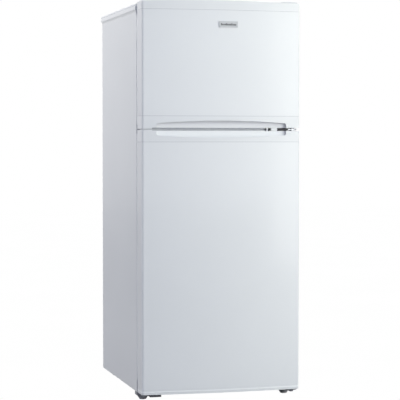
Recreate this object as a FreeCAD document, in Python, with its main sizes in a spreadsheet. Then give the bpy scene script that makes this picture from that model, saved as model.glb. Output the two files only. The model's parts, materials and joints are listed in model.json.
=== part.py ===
"""Compact top-freezer refrigerator: a bow-fronted two-door cabinet, modelled in millimetres.

+Z is up, the doors face -Y, the hinges are on the +X side, and the origin is under the middle of
the whole object, at floor level.  Every size is a cell of the sheet "dims"; the strings below are
formulas over those cells.
"""
import FreeCAD, Part
import math
import os
import re
import Sketcher

Vector = FreeCAD.Vector

SIZES = {
    # cabinet
    "cabinet_width": 474, "cabinet_depth": 502, "front_plane": -226,
    "cabinet_bottom": 23.5, "cabinet_top": 1133, "panel": 1, "front_flange": 15, "rear_flange": 11,
    "side_wall": 40, "back_wall": 45, "liner": 1.5,
    "fridge_floor": 79, "fridge_ceiling": 762, "freezer_floor": 812, "freezer_ceiling": 1090,
    "bay_depth": 176, "bay_top": 194, "bay_wall": 35, "pan": 1.2, "rail_depth": 30, "rail_top": 56,
    "cover_height": 17.5, "cover_side": 3, "cover_rear": 12, "cover_wall": 2.5, "cover_round": 5,
    "ledge_width": 6, "ledge_height": 4,
    # doors
    "door_gap": 12, "door_thick": 56, "door_bow": 12, "corner_round": 7, "skin": 1, "cap_wall": 2.5,
    "door_bottom": 24, "door_top": 1153, "crown": 4.5, "seam": 0.6,
    "split_level": 787.3, "tab_half_gap": 1.4, "half_gap": 4.5, "tab_width": 30,
    "top_cap": 22.5, "upper_handle_cap": 38, "lower_handle_cap": 36, "bottom_cap": 14,
    "gasket_width": 12, "gasket_left": 6, "gasket_right": 16, "gasket_clear": 0.3,
    "dyke_half": 183, "dyke_width": 18, "dyke_height": 26,
    "bin_half": 164, "bin_wall": 2.2, "bin_round": 14,
    # handle pocket between the doors
    "grip_half": 194.5, "grip_radius": 60, "grip_forward": 40, "grip_trim": 2, "grip_lip": 3,
    "arch_rise": 25, "arch_end": 18, "arch_turn": 7, "undercut": 7, "slit_depth": 27,
    # hinges
    "hinge_inset": 15, "hinge_setback": 37, "pin_radius": 4, "running_play": 0.05,
    "boss_radius": 9, "bracket": 3,
    # feet and rollers
    "foot_radius": 16, "foot_inset": 21, "stem_radius": 4, "roller_radius": 10, "roller_width": 14,
    "roller_inset": 37, "roller_rear": 26, "axle_radius": 3,
    # inside fittings
    "glass": 4, "upper_shelf": 554, "lower_shelf": 394, "crisper_cover": 246, "freezer_shelf": 944,
    "shelf_front": -128, "drawer_half": 182, "drawer_front": -120, "drawer_back": 58,
    "drawer_height": 152, "drawer_wall": 2.5,
    # cooling circuit
    "condenser_half": 195, "condenser_low": 234, "condenser_pitch": 48, "condenser_runs": 17,
    "condenser_tube": 2.4, "condenser_wire": 0.8, "condenser_standoff": 27.8, "wire_pitch": 19.5,
    "compressor_x": 60, "compressor_y": 190, "compressor_top": 144,
}

doc = FreeCAD.newDocument("top_freezer_refrigerator")
dims = doc.addObject("Spreadsheet::Sheet", "dims")
for row, (alias, size) in enumerate(SIZES.items(), start=1):
    dims.set(f"A{row}", alias)
    dims.set(f"B{row}", str(size))
    dims.setAlias(f"B{row}", alias)
doc.recompute()

RIGHT = "(cabinet_width/2)"
LEFT = "(-cabinet_width/2)"
BACK = "(front_plane + cabinet_depth)"
CAVITY_BACK = "(front_plane + cabinet_depth - back_wall)"
CAVITY_SIDE = "(cabinet_width/2 - side_wall)"
BAY_FRONT = "(front_plane + cabinet_depth - bay_depth)"
HUMP_FRONT = "(front_plane + cabinet_depth - bay_depth - bay_wall)"
COVER_TOP = "(cabinet_top + cover_height)"
DOOR_BACK = "(front_plane - door_gap)"
DOOR_EDGE = "(front_plane - door_gap - door_thick)"
DOOR_FRONT = "(front_plane - door_gap - door_thick - door_bow)"
HINGE_X = "(cabinet_width/2 - hinge_inset)"
HINGE_Y = "(front_plane - hinge_setback)"
FREEZER_SEAM_LOW = "(split_level + upper_handle_cap)"
FREEZER_SEAM_HIGH = "(door_top - top_cap)"
FRIDGE_SEAM_LOW = "(door_bottom + bottom_cap)"
FRIDGE_SEAM_HIGH = "(split_level - lower_handle_cap)"
CONDENSER_Y = "(front_plane + cabinet_depth + condenser_standoff)"

NODES = []


# ---------------------------------------------------------------- helpers

def formula(text):
    """Point every dimension name of an expression at its cell."""
    return re.sub(r"[a-z_]+", lambda m: f"dims.{m[0]}" if m[0] in SIZES else m[0], str(text))


def value(text):
    return float(dims.evalExpression(formula(text)))


def bind(item, prop, text):
    item.setExpression(prop, formula(text))


def place(item, x, y, z):
    for axis, text in zip("xyz", (x, y, z)):
        bind(item, f"Placement.Base.{axis}", text)


def node(item, label):
    """Name a finished sub-part; the label is also its file's name."""
    item.Label = label
    NODES.append(item)
    return item


def block(name, x, y, z):
    """Box between the two ends given for each axis."""
    item = doc.addObject("Part::Box", name)
    for prop, (low, high) in zip(("Length", "Width", "Height"), (x, y, z)):
        bind(item, prop, f"({high}) - ({low})")
    place(item, x[0], y[0], z[0])
    return item


TURNS = {"x": FreeCAD.Rotation(Vector(0, 1, 0), 90), "y": FreeCAD.Rotation(Vector(1, 0, 0), -90),
         "z": FreeCAD.Rotation()}


def rod(name, radius, start, length, axis="z"):
    """Cylinder that leaves its start point along +axis."""
    item = doc.addObject("Part::Cylinder", name)
    item.Placement = FreeCAD.Placement(Vector(), TURNS[axis])
    bind(item, "Radius", radius)
    bind(item, "Height", length)
    place(item, *start)
    return item


def fuse(name, *parts):
    item = doc.addObject("Part::MultiFuse", name)
    item.Shapes = list(parts)
    item.Refine = True
    return item


def cut(name, base, *tools):
    tool = tools[0] if len(tools) == 1 else fuse(name + "_tools", *tools)
    item = doc.addObject("Part::Cut", name)
    item.Base = base
    item.Tool = tool
    return item


def common(name, first, second):
    item = doc.addObject("Part::MultiCommon", name)
    item.Shapes = [first, second]
    return item


def group(name, parts):
    item = doc.addObject("Part::Compound", name)
    item.Links = list(parts)
    return item


def feature(name, shape):
    item = doc.addObject("Part::Feature", name)
    item.Shape = shape
    return item


def body(name):
    return doc.addObject("PartDesign::Body", name)


def sketch(owner, name, plane, offset, corners, arcs=None):
    """Closed outline on an origin plane, moved along its normal by offset.

    corners holds (across, up) formulas.  arcs[i] = (radius, bulge) rounds the run from corner i to
    the next one; bulge is +1 when the arc lies to the left of the run and -1 to its right.
    """
    outline = owner.newObject("Sketcher::SketchObject", name)
    support = next(f for f in owner.Origin.OriginFeatures if f.Role == plane)
    outline.AttachmentSupport = (support, [""])
    outline.MapMode = "FlatFace"
    bind(outline, "AttachmentOffset.Base.z", offset)
    spots = [Vector(value(across), value(up), 0) for across, up in corners]
    arcs = arcs or {}
    for i, start in enumerate(spots):
        end = spots[(i + 1) % len(spots)]
        if i in arcs:
            radius, bulge = value(arcs[i][0]), arcs[i][1]
            chord = end - start
            rise = radius - math.sqrt(max(radius ** 2 - chord.Length ** 2 / 4, 0))
            side = Vector(-chord.y, chord.x, 0).normalize() * (rise * bulge)
            run = Part.Arc(start, (start + end) * 0.5 + side, end)
        else:
            run = Part.LineSegment(start, end)
        outline.addGeometry(run, False)
    join_runs(outline, spots, corners)
    for i, (radius, _) in arcs.items():
        number = outline.addConstraint(Sketcher.Constraint("Radius", i, value(radius)))
        bind(outline, f"Constraints[{number}]", radius)
    return outline


def join_runs(outline, spots, corners):
    """Close the outline and tie each corner to its two formulas."""
    def end_at(run, spot):
        return 1 if (outline.getPoint(run, 1) - spot).Length < 1e-6 else 2

    count = len(spots)
    for i, spot in enumerate(spots):
        before = (i - 1) % count
        outline.addConstraint(
            Sketcher.Constraint("Coincident", before, end_at(before, spot), i, end_at(i, spot)))
        for kind, text, size in zip(("DistanceX", "DistanceY"), corners[i], (spot.x, spot.y)):
            number = outline.addConstraint(Sketcher.Constraint(kind, -1, 1, i, end_at(i, spot), size))
            bind(outline, f"Constraints[{number}]", text)


def pad(owner, name, outline, length):
    item = owner.newObject("PartDesign::Pad", name)
    item.Profile = (outline, [""])
    bind(item, "Length", length)
    owner.Tip = item
    return item


def pocket(owner, name, outline, length):
    """Cut from the outline against its plane's normal."""
    item = owner.newObject("PartDesign::Pocket", name)
    item.Profile = (outline, [""])
    bind(item, "Length", length)
    owner.Tip = item
    return item


def soften(owner, name, radius, chosen):
    """Round the edges of the body's tip that the test picks."""
    doc.recompute()
    tip = owner.Tip
    edges = [f"Edge{i}" for i, edge in enumerate(tip.Shape.Edges, start=1) if chosen(edge)]
    item = owner.newObject("PartDesign::Fillet", name)
    item.Base = (tip, edges)
    bind(item, "Radius", radius)
    owner.Tip = item
    return item


def spin(owner, name, outline):
    """Revolve an outline of the XZ plane about the body's Z axis."""
    item = owner.newObject("PartDesign::Revolution", name)
    item.Profile = (outline, [""])
    item.ReferenceAxis = (outline, ["V_Axis"])
    item.Angle = 360
    owner.Tip = item
    return item


def rounded(x, y, radius):
    """Corners and arcs of a rectangle with round corners, run anticlockwise."""
    (left, right), (low, high), r = x, y, radius
    corners = [(f"{left}+{r}", low), (f"{right}-{r}", low), (right, f"{low}+{r}"),
               (right, f"{high}-{r}"), (f"{right}-{r}", high), (f"{left}+{r}", high),
               (left, f"{high}-{r}"), (left, f"{low}+{r}")]
    return corners, {i: (radius, -1) for i in (1, 3, 5, 7)}


def tray(name, x, y, z, wall, radius):
    """Open-topped moulded box with round corners."""
    owner = body(name)
    corners, arcs = rounded(x, y, radius)
    outer = sketch(owner, name + "_outline", "XY_Plane", z[0], corners, arcs)
    pad(owner, name + "_block", outer, f"({z[1]}) - ({z[0]})")
    inside = ((f"({x[0]}+{wall})", f"({x[1]}-{wall})"), (f"({y[0]}+{wall})", f"({y[1]}-{wall})"))
    corners, arcs = rounded(*inside, f"({radius}-{wall})")
    hollow = sketch(owner, name + "_hollow", "XY_Plane", z[1], corners, arcs)
    pocket(owner, name + "_inside", hollow, f"({z[1]}) - ({z[0]}) - {wall}")
    return owner


def tube(name, stops, radius, bend, bore=None):
    """Round tube along straight runs joined by tangent arcs; bore makes it hollow."""
    runs = []
    start = stops[0]
    for before, corner, after in zip(stops, stops[1:], stops[2:]):
        inward = (before - corner).normalize()
        outward = (after - corner).normalize()
        half_turn = inward.getAngle(outward) / 2
        reach = bend / math.tan(half_turn)
        first, last = corner + inward * reach, corner + outward * reach
        middle = corner + (inward + outward).normalize() * (bend / math.sin(half_turn) - bend)
        if (first - start).Length > 1e-4:
            runs.append(Part.LineSegment(start, first).toShape())
        runs.append(Part.Arc(first, middle, last).toShape())
        start = last
    runs.append(Part.LineSegment(start, stops[-1]).toShape())
    path = Part.Wire(runs)

    def sweep(size):
        ring = Part.Wire(Part.makeCircle(size, stops[0], stops[1] - stops[0]))
        return path.makePipeShell([ring], True, False)

    solid = sweep(radius)
    return feature(name, solid.cut(sweep(bore)) if bore else solid)


def turned(name, x, y, z, profile, axis="z"):
    """Body revolved from (radius, height) formulas and set with its base at the place given."""
    owner = body(name)
    spin(owner, name + "_turn", sketch(owner, name + "_profile", "XZ_Plane", "0", profile))
    owner.Placement = FreeCAD.Placement(Vector(), TURNS[axis])
    place(owner, x, y, z)
    return owner


# ---------------------------------------------------------------- cabinet shell

def side_panel(label, side):
    """Folded steel side with a flange turned in along the front and the back."""
    owner = body(label)
    reach = [("0", "front_plane"), ("front_flange", "front_plane"),
             ("front_flange", "front_plane + panel"), ("panel", "front_plane + panel"),
             ("panel", f"{BACK} - panel"), ("rear_flange", f"{BACK} - panel"),
             ("rear_flange", BACK), ("0", BACK)]
    corners = [(f"{side}*(cabinet_width/2 - {inward})", y) for inward, y in reach]
    pad(owner, label + "_fold", sketch(owner, label + "_outline", "XY_Plane", "cabinet_bottom", corners),
        "cabinet_top - cabinet_bottom")
    node(owner, label)


def top_cover():
    """Moulded lid that overhangs the sides and the back, hollow underneath."""
    owner = body("cover_lid")
    half = "(cabinet_width/2 + cover_side)"
    rear = f"({BACK} + cover_rear)"
    rim = [(f"-{half}", "front_plane"), (half, "front_plane"), (half, rear), (f"-{half}", rear)]
    pad(owner, "cover_block", sketch(owner, "cover_rim", "XY_Plane", "cabinet_top", rim), "cover_height")
    back, top = value(rear), value(COVER_TOP)
    soften(owner, "cover_corners", 8,
           lambda e: abs(e.tangentAt(e.FirstParameter).z) > 0.9 and e.CenterOfMass.y > back - 1)
    front = value("front_plane")
    soften(owner, "cover_edges", "cover_round",
           lambda e: e.BoundBox.ZMin > top - 0.01 and e.CenterOfMass.y > front + 1)
    inner = f"(cabinet_width/2 + cover_side - cover_wall)"
    hollow = block("cover_hollow", (f"-{inner}", inner), ("front_plane + liner", f"{rear} - cover_wall"),
                   ("cabinet_top - 1", f"{COVER_TOP} - cover_wall"))
    node(cut("top_cover_shell", owner, hollow), "top_cover")


def base_pan():
    """Floor sheet that steps up over the compressor bay."""
    owner = body("base_pan_sheet")
    low, front = "(cabinet_bottom + 0.5)", "(front_plane + rail_depth)"
    corners = [(front, low), (BAY_FRONT, low), (BAY_FRONT, "bay_top"), (f"{BACK} - panel", "bay_top"),
               (f"{BACK} - panel", "bay_top + pan"), (f"{BAY_FRONT} - pan", "bay_top + pan"),
               (f"{BAY_FRONT} - pan", f"{low} + pan"), (front, f"{low} + pan")]
    profile = sketch(owner, "base_pan_profile", "YZ_Plane", f"{LEFT} + panel", corners)
    pad(owner, "base_pan_width", profile, "cabinet_width - 2*panel")
    node(cut("base_pan", owner, drain_path("pan_drain", "drain_outer")), "base_pan")


DRAIN = {"drain_outer": 7, "drain_bore": 5.5}


def drain_stops():
    x, y, z = 100, value(CAVITY_BACK) + 22, 439
    return [Vector(x, value(CAVITY_BACK) - 4, z), Vector(x, y, z), Vector(x, y, 170)]


def drain_path(name, size):
    return tube(name, drain_stops(), DRAIN[size], 12)


def front_base_rail():
    """Channel across the front edge of the floor: a boss and a pad over each foot, a heel at the left."""
    span = (f"{LEFT} + panel", f"{RIGHT} - panel")
    low = "cabinet_bottom + 0.5"
    outer = block("rail_block", span, ("front_plane + panel", "front_plane + rail_depth"), (low, "rail_top"))
    inner = block("rail_hollow", span, ("front_plane + panel + 2", "front_plane + rail_depth - 2"),
                  ("cabinet_bottom + 2.5", "rail_top + 1"))
    inside = ("front_plane + panel", "front_plane + rail_depth")
    fittings, bores = [], []
    for side in (-1, 1):
        x, y = f"{side}*(cabinet_width/2 - foot_inset)", "front_plane + rail_depth/2"
        fittings.append(rod("foot_boss", "boss_radius", (x, y, low), "22"))
        pad_x = sorted((f"{side}*(cabinet_width/2 - 1)", f"{side}*(cabinet_width/2 - 54)"), key=value)
        fittings.append(block("foot_pad", pad_x, inside, ("12.5", low)))
        bores.append(rod("foot_bore", "stem_radius + running_play", (x, y, "10"), "50"))
    heel = (f"{LEFT} + 39", f"{LEFT} + 72")
    fittings.append(block("heel_root", heel, inside, ("12.5", low)))
    fittings.append(block("heel_toe", heel, ("front_plane - 4", inside[1]), ("6", "12.5")))
    channel = cut("rail_channel", outer, inner)
    node(cut("front_base_rail", fuse("rail_with_bosses", channel, *fittings), *bores), "front_base_rail")


def ledges(name, level, front, back):
    """Pair of moulded runners that carry a shelf whose underside is at level."""
    side = CAVITY_SIDE
    spans = ((f"-{side} - liner/2", f"-{side} + ledge_width"), (f"{side} - ledge_width", f"{side} + liner/2"))
    return [block(name, span, (front, back), (f"{level} - ledge_height", level)) for span in spans]


def liner_box(name, z, grow):
    """Space of one compartment, grown outwards by the thickness given."""
    half = f"({CAVITY_SIDE} + {grow})"
    return block(name, (f"-{half}", half), ("front_plane - 1", f"{CAVITY_BACK} + {grow}"),
                 (f"{z[0]} - {grow}", f"{z[1]} + {grow}"))


def front_frame(name, z):
    """Flat rim of a liner behind the door gasket."""
    half = "(cabinet_width/2 - front_flange)"
    return block(name, (f"-{half}", half), ("front_plane", "front_plane + liner"), z)


def hump(name, grow):
    """Step in the floor of the lower compartment, above the compressor bay."""
    half = f"({CAVITY_SIDE} + 5)"
    return block(name, (f"-{half}", half), (f"{HUMP_FRONT} + {grow}", f"{CAVITY_BACK} + 10"),
                 ("fridge_floor - 5", f"bay_top + bay_wall - {grow}"))


def liner_space(name, grow):
    """Lower compartment: a box with the hump taken out of its rear floor."""
    return cut(name, liner_box(name + "_box", ("fridge_floor", "fridge_ceiling"), grow),
               hump(name + "_hump", grow))


def freezer_liner():
    room = ("freezer_floor", "freezer_ceiling")
    rim = front_frame("freezer_rim", ("split_level + 12", "cabinet_top"))
    shell = cut("freezer_shell", liner_box("freezer_outer", room, "liner"),
                block("freezer_front_trim", (LEFT, RIGHT), ("front_plane - 5", "front_plane"),
                      ("freezer_floor - 5", "freezer_ceiling + 5")))
    solid = fuse("freezer_liner_solid", shell, rim)
    inside = cut("freezer_inside", liner_box("freezer_inner", room, "0"),
                 *ledges("freezer_ledge", "freezer_shelf", "front_plane + 60", "180"))
    node(cut("freezer_liner", solid, inside), "freezer_liner")


def fridge_liner():
    rim = front_frame("fridge_rim", ("rail_top", "split_level - 12"))
    shell = cut("fridge_shell", liner_space("fridge_outer", "liner"),
                block("fridge_front_trim", (LEFT, RIGHT), ("front_plane - 5", "front_plane"),
                      ("fridge_floor - 5", "fridge_ceiling + 5")))
    runners = []
    for level in ("upper_shelf", "lower_shelf", "crisper_cover"):
        runners += ledges("fridge_ledge", level, "shelf_front + 2", "200")
    inside = cut("fridge_inside", liner_space("fridge_inner", "0"), *runners)
    solid = fuse("fridge_liner_solid", shell, rim)
    node(cut("fridge_liner", solid, inside, drain_path("liner_drain", "drain_outer")), "fridge_liner")


def cabinet_foam():
    """Rigid insulation that fills the walls between the steel and the two liners."""
    half = "(cabinet_width/2 - panel)"
    main = block("foam_main", (f"-{half}", half), ("front_plane + liner", f"{BACK} - panel"),
                 ("cabinet_bottom + 0.5 + pan", "cabinet_top"))
    lid = "(cabinet_width/2 + cover_side - cover_wall)"
    top = block("foam_top", (f"-{lid}", lid),
                ("front_plane + liner", f"{BACK} + cover_rear - cover_wall"),
                ("cabinet_top", f"{COVER_TOP} - cover_wall"))
    bay = block("foam_bay", (LEFT, RIGHT), (f"{BAY_FRONT} - pan", f"{BACK} + 1"),
                ("cabinet_bottom", "bay_top + pan"))
    rail = block("foam_rail", (LEFT, RIGHT), ("front_plane", "front_plane + rail_depth"),
                 ("cabinet_bottom", "rail_top"))
    freezer = liner_box("foam_freezer", ("freezer_floor", "freezer_ceiling"), "liner")
    fridge = liner_space("foam_fridge", "liner")
    node(cut("cabinet_foam", fuse("foam_walls", main, top), bay, rail, freezer, fridge,
             drain_path("foam_drain", "drain_outer")), "cabinet_foam")


def cabinet_shell():
    side_panel("side_panel_left", -1)
    side_panel("side_panel_right", 1)
    inset = "(cabinet_width/2 - rear_flange)"
    node(block("back_panel", (f"-{inset}", inset), (f"{BACK} - panel", BACK),
               ("bay_top + pan", "cabinet_top")), "back_panel")
    rail = "(cabinet_width/2 - front_flange)"
    node(block("mullion_rail", (f"-{rail}", rail), ("front_plane", "front_plane + liner"),
               ("split_level - 12", "split_level + 12")), "mullion_rail")
    top_cover()
    base_pan()
    front_base_rail()
    freezer_liner()
    fridge_liner()
    cabinet_foam()


# ---------------------------------------------------------------- compressor bay

def compressor_base_plate():
    """Bottom plate of the bay with turned-up sides and a fork for each rear roller."""
    front = f"{BAY_FRONT} + 12"
    level = "(cabinet_bottom + 0.5)"
    half, rear = "(cabinet_width/2 - panel - 2)", f"({BACK} - panel)"
    parts = [block("plate_floor", (f"-{half}", half), (front, rear), (level, f"{level} + 2"))]
    holes = []
    for side in (-1, 1):
        wall = sorted((f"{side}*{half}", f"{side}*({half} - 2)"), key=value)
        parts.append(block("plate_side", wall, (front, rear), (level, f"{level} + 22")))
        centre = f"{side}*(cabinet_width/2 - roller_inset)"
        for hand in (-1, 1):
            edge = f"{centre} + {hand}*(roller_width/2 + 1.5)"
            parts.append(block("fork", (f"{edge} - 1", f"{edge} + 1"),
                               (f"{BACK} - roller_rear - 8", f"{BACK} - roller_rear + 8"),
                               ("roller_radius - 8", level)))
        holes.append(rod("fork_hole", "axle_radius + running_play",
                         (f"{centre} - roller_width", f"{BACK} - roller_rear", "roller_radius"),
                         "2*roller_width", "x"))
    for x, y in grommet_places():
        holes.append(rod("grommet_hole", "4", (x, y, "cabinet_bottom - 1"), "6"))
    node(cut("compressor_base_plate", fuse("plate_folds", *parts), *holes), "compressor_base_plate")


def grommet_places():
    return [(f"compressor_x + {68 * i}", f"compressor_y + {50 * j}") for i in (-1, 1) for j in (-1, 1)]


def compressor():
    """Welded oval pot on a foot plate; its rubber grommets stand on the base plate."""
    pot = body("compressor_pot")
    corners, arcs = rounded(("(compressor_x - 75)", "(compressor_x + 75)"),
                            ("(compressor_y - 55)", "(compressor_y + 55)"), "50")
    pad(pot, "pot_block", sketch(pot, "pot_outline", "XY_Plane", "cabinet_bottom + 19.5", corners, arcs),
        "compressor_top - cabinet_bottom - 19.5")
    soften(pot, "pot_rounds", 24, lambda e: e.BoundBox.ZLength < 0.01)
    seam_corners, seam_arcs = rounded(("(compressor_x - 78)", "(compressor_x + 78)"),
                                      ("(compressor_y - 58)", "(compressor_y + 58)"), "53")
    seam = body("pot_seam")
    rim = sketch(seam, "seam_outline", "XY_Plane", "compressor_top - 52", seam_corners, seam_arcs)
    pad(seam, "seam_block", rim, "4")
    foot_level = "(cabinet_bottom + 16.5)"
    foot = block("pot_foot", ("compressor_x - 80", "compressor_x + 80"),
                 ("compressor_y - 62", "compressor_y + 62"), (foot_level, f"{foot_level} + 4"))
    holes = [rod("pot_foot_hole", "6", (x, y, f"{foot_level} - 1"), "6") for x, y in grommet_places()]
    node(cut("compressor", fuse("compressor_solid", pot, seam, foot), *holes), "compressor")
    profile = [("0", "0"), ("10", "0"), ("10", "14"), ("6", "14"), ("6", "18"), ("9", "18"), ("9", "22"),
               ("0", "22")]
    grommets = [turned("grommet", x, y, "cabinet_bottom + 2.5", profile) for x, y in grommet_places()]
    node(group("compressor_grommets", grommets), "compressor_grommets")


def start_relay_cover():
    """Clip-on terminal cover of the compressor, with the gland hole for the supply lead."""
    owner = body("relay_block")
    side = "(compressor_x - 78)"
    rim = [(f"{side} - 34", "compressor_y - 14"), (side, "compressor_y - 14"),
           (side, "compressor_y + 14"), (f"{side} - 34", "compressor_y + 14")]
    pad(owner, "relay_pad", sketch(owner, "relay_outline", "XY_Plane", "cabinet_bottom + 28.5", rim), "38")
    soften(owner, "relay_rounds", 4, lambda e: e.CenterOfMass.x < value(side) - 33)
    gland = rod("relay_gland", "4", (f"{side} - 40", "compressor_y", "cabinet_bottom + 38.5"), "30", "x")
    node(cut("start_relay_cover", owner, gland), "start_relay_cover")


def refrigerant_lines():
    """Discharge, liquid and suction tubes and the capillary, all copper."""
    rear, low = value(CONDENSER_Y), value("condenser_low")
    side = value("condenser_half")
    top = low + value("condenser_pitch") * (value("condenser_runs") - 1)
    discharge = [Vector(100, 245, 74), Vector(100, 262, 74), Vector(214, 262, 74),
                 Vector(214, rear, 74), Vector(214, rear, low), Vector(side, rear, low)]
    liquid = [Vector(-side, rear, top), Vector(-214, rear, top), Vector(-214, rear, 114),
              Vector(-214, 250, 114), Vector(-160, 250, 114)]
    capillary = [Vector(-84, 250, 114), Vector(-66, 250, 114), Vector(-66, 250, 193.8)]
    suction = [Vector(-100, 190, 193.8), Vector(-100, 190, 112), Vector(-15, 190, 112)]
    tubes = [tube("discharge_line", discharge, 2.4, 8), tube("liquid_line", liquid, 2.4, 7),
             tube("capillary", capillary, 1.2, 8), tube("suction_line", suction, 3.5, 14)]
    node(group("refrigerant_lines", tubes), "refrigerant_lines")
    drier = [("0", "0"), ("3", "0"), ("3", "8"), ("9", "16"), ("9", "58"), ("3", "68"), ("3", "76"),
             ("0", "76")]
    node(turned("filter_drier", "-160", "250", "114", drier, "x"), "filter_drier")


def condenser():
    """Serpentine tube between two layers of upright wires, held off the back panel."""
    rear, side, pitch = value(CONDENSER_Y), value("condenser_half"), value("condenser_pitch")
    low, runs = value("condenser_low"), int(value("condenser_runs"))
    tube_radius, wire = value("condenser_tube"), value("condenser_wire")
    stops = []
    for i in range(runs):
        ends = (side, -side) if i % 2 == 0 else (-side, side)
        stops += [Vector(x, rear, low + i * pitch) for x in ends]
    parts = [tube("condenser_tube_run", stops, tube_radius, pitch * 0.49)]
    height = pitch * (runs - 1) + 30
    count = int(2 * (side - 30) // value("wire_pitch"))
    first = -value("wire_pitch") * (count - 1) / 2
    for i in range(count):
        for face in (-1, 1):
            y = rear + face * (tube_radius + wire)
            start = (f"{first} + {i}*wire_pitch", y, "condenser_low - 15")
            parts.append(rod("condenser_wire_rod", "condenser_wire", start, height))
    node(group("condenser", parts), "condenser")
    brackets, screws = [], []
    face = f"({CONDENSER_Y} - condenser_tube - 2*condenser_wire)"
    for x in (-176, 176):
        width = (f"{x} - 9", f"{x} + 9")
        for z in (low + 0.5 * pitch, low + (runs - 1.5) * pitch):
            arm = block("bracket_arm", width, (BACK, face), (f"{z} - 1", f"{z} + 1"))
            foot = block("bracket_foot", width, (BACK, f"{BACK} + 1.5"), (f"{z} - 1", f"{z} + 20"))
            clip = block("bracket_clip", width, (f"{face} - 1.5", face), (f"{z} - 12", f"{z} + 1"))
            hole = rod("bracket_hole", "2.3", (x, f"{BACK} - 1", f"{z} + 12"), "4", "y")
            brackets.append(cut("condenser_bracket", fuse("bracket_folds", arm, foot, clip), hole))
            screws.append(screw(x, f"{BACK} + 1.5", f"{z} + 12", "y", 1, 1.4))
    node(group("condenser_brackets", brackets), "condenser_brackets")
    return screws


def screw(x, y, z, axis, outward, grip):
    """Pan-head screw: the head lies on the surface at the place given, its shank in the hole."""
    step = {"x": (1, 0, 0), "y": (0, 1, 0), "z": (0, 0, 1)}[axis]

    def start(distance):
        return [f"({base}) + ({distance * s})" for base, s in zip((x, y, z), step)]

    head = rod("screw_head", "4.4", start(0 if outward > 0 else -2.6), "2.6", axis)
    shank = rod("screw_shank", "2.1", start(-grip if outward > 0 else 0), grip, axis)
    return fuse("screw", head, shank)


def compressor_bay():
    compressor_base_plate()
    compressor()
    start_relay_cover()
    node(tray("drip_tray", ("(compressor_x - 90)", "(compressor_x + 90)"),
              ("(compressor_y - 70)", "(compressor_y + 72)"),
              ("compressor_top", "(compressor_top + 22)"), "2", "12"), "drip_tray")
    node(tube("drain_tube", drain_stops(), DRAIN["drain_outer"], 12, DRAIN["drain_bore"]), "drain_tube")
    refrigerant_lines()


# ---------------------------------------------------------------- inside fittings

def evaporators():
    """Roll-bond plates: one folded round the freezer, one standing off the lower back wall."""
    owner = body("freezer_evaporator")
    front, back = "(front_plane + 40)", f"({CAVITY_BACK} - 5)"
    low, high, thick = "(freezer_floor + 1)", "(freezer_ceiling - 2)", "1.6"
    corners = [(front, low), (back, low), (back, high), (front, high), (front, f"{high} - {thick}"),
               (f"{back} - {thick}", f"{high} - {thick}"), (f"{back} - {thick}", f"{low} + {thick}"),
               (front, f"{low} + {thick}")]
    half = f"({CAVITY_SIDE} - ledge_width - 1)"
    pad(owner, "evaporator_width", sketch(owner, "evaporator_fold", "YZ_Plane", f"-{half}", corners),
        f"2*{half}")
    node(owner, "freezer_evaporator")
    plate = block("cold_plate", ("-165", "165"), (f"{CAVITY_BACK} - 9", f"{CAVITY_BACK} - 6"), ("472", "724"))
    pillars = [rod("cold_plate_pillar", "5", (x, f"{CAVITY_BACK} - 6.5", z), "6.5", "y")
               for x in ("-140", "140") for z in ("494", "702")]
    channels = [block("cold_plate_channel", ("-145", "145"), (f"{CAVITY_BACK} - 11", f"{CAVITY_BACK} - 8"),
                      (f"{z} - 5", f"{z} + 5")) for z in range(502, 714, 28)]
    node(fuse("fridge_evaporator", plate, *pillars, *channels), "fridge_evaporator")


def shelves():
    half = f"({CAVITY_SIDE} - 3)"
    for label, level, back in (("upper_glass_shelf", "upper_shelf", "214"),
                               ("lower_glass_shelf", "lower_shelf", "224"),
                               ("crisper_glass_cover", "crisper_cover", "224")):
        node(block(label, (f"-{half}", half), ("shelf_front", back), (level, f"{level} + glass")), label)
    trims = []
    for level in ("upper_shelf", "lower_shelf", "crisper_cover"):
        edge = block("trim_bar", (f"-{half}", half), ("shelf_front - 3", "shelf_front + 8"),
                     (f"{level} - 3", f"{level} + glass + 3"))
        slot = block("trim_slot", (f"-{half} - 1", f"{half} + 1"), ("shelf_front", "shelf_front + 9"),
                     (level, f"{level} + glass"))
        relief = [block("trim_relief", span, ("shelf_front + 2", "shelf_front + 9"), (f"{level} - 5", level))
                  for span in ((f"-{half} - 1", f"-{half} + 6"), (f"{half} - 6", f"{half} + 1"))]
        trims.append(cut("shelf_trim", edge, slot, *relief))
    node(group("shelf_front_trims", trims), "shelf_front_trims")


def freezer_wire_shelf():
    """Welded wire shelf: a border and cross wires on the freezer's runners."""
    half, front, back = f"({CAVITY_SIDE} - 3)", "(front_plane + 66)", "176"
    z = "freezer_shelf + 2.2"
    parts = [rod("shelf_rail", "2.2", (f"-{half}", y, z), f"2*{half}", "x") for y in (front, "0", back)]
    count = 17
    for i in range(count):
        x = f"-{half} + 2 + {i}*(2*{half} - 4)/{count - 1}"
        parts.append(rod("shelf_wire", "1.4", (x, f"{front} - 2", "freezer_shelf + 3.4"),
                         f"{back} - {front} + 4", "y"))
    node(fuse("freezer_wire_shelf", *parts), "freezer_wire_shelf")


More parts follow.
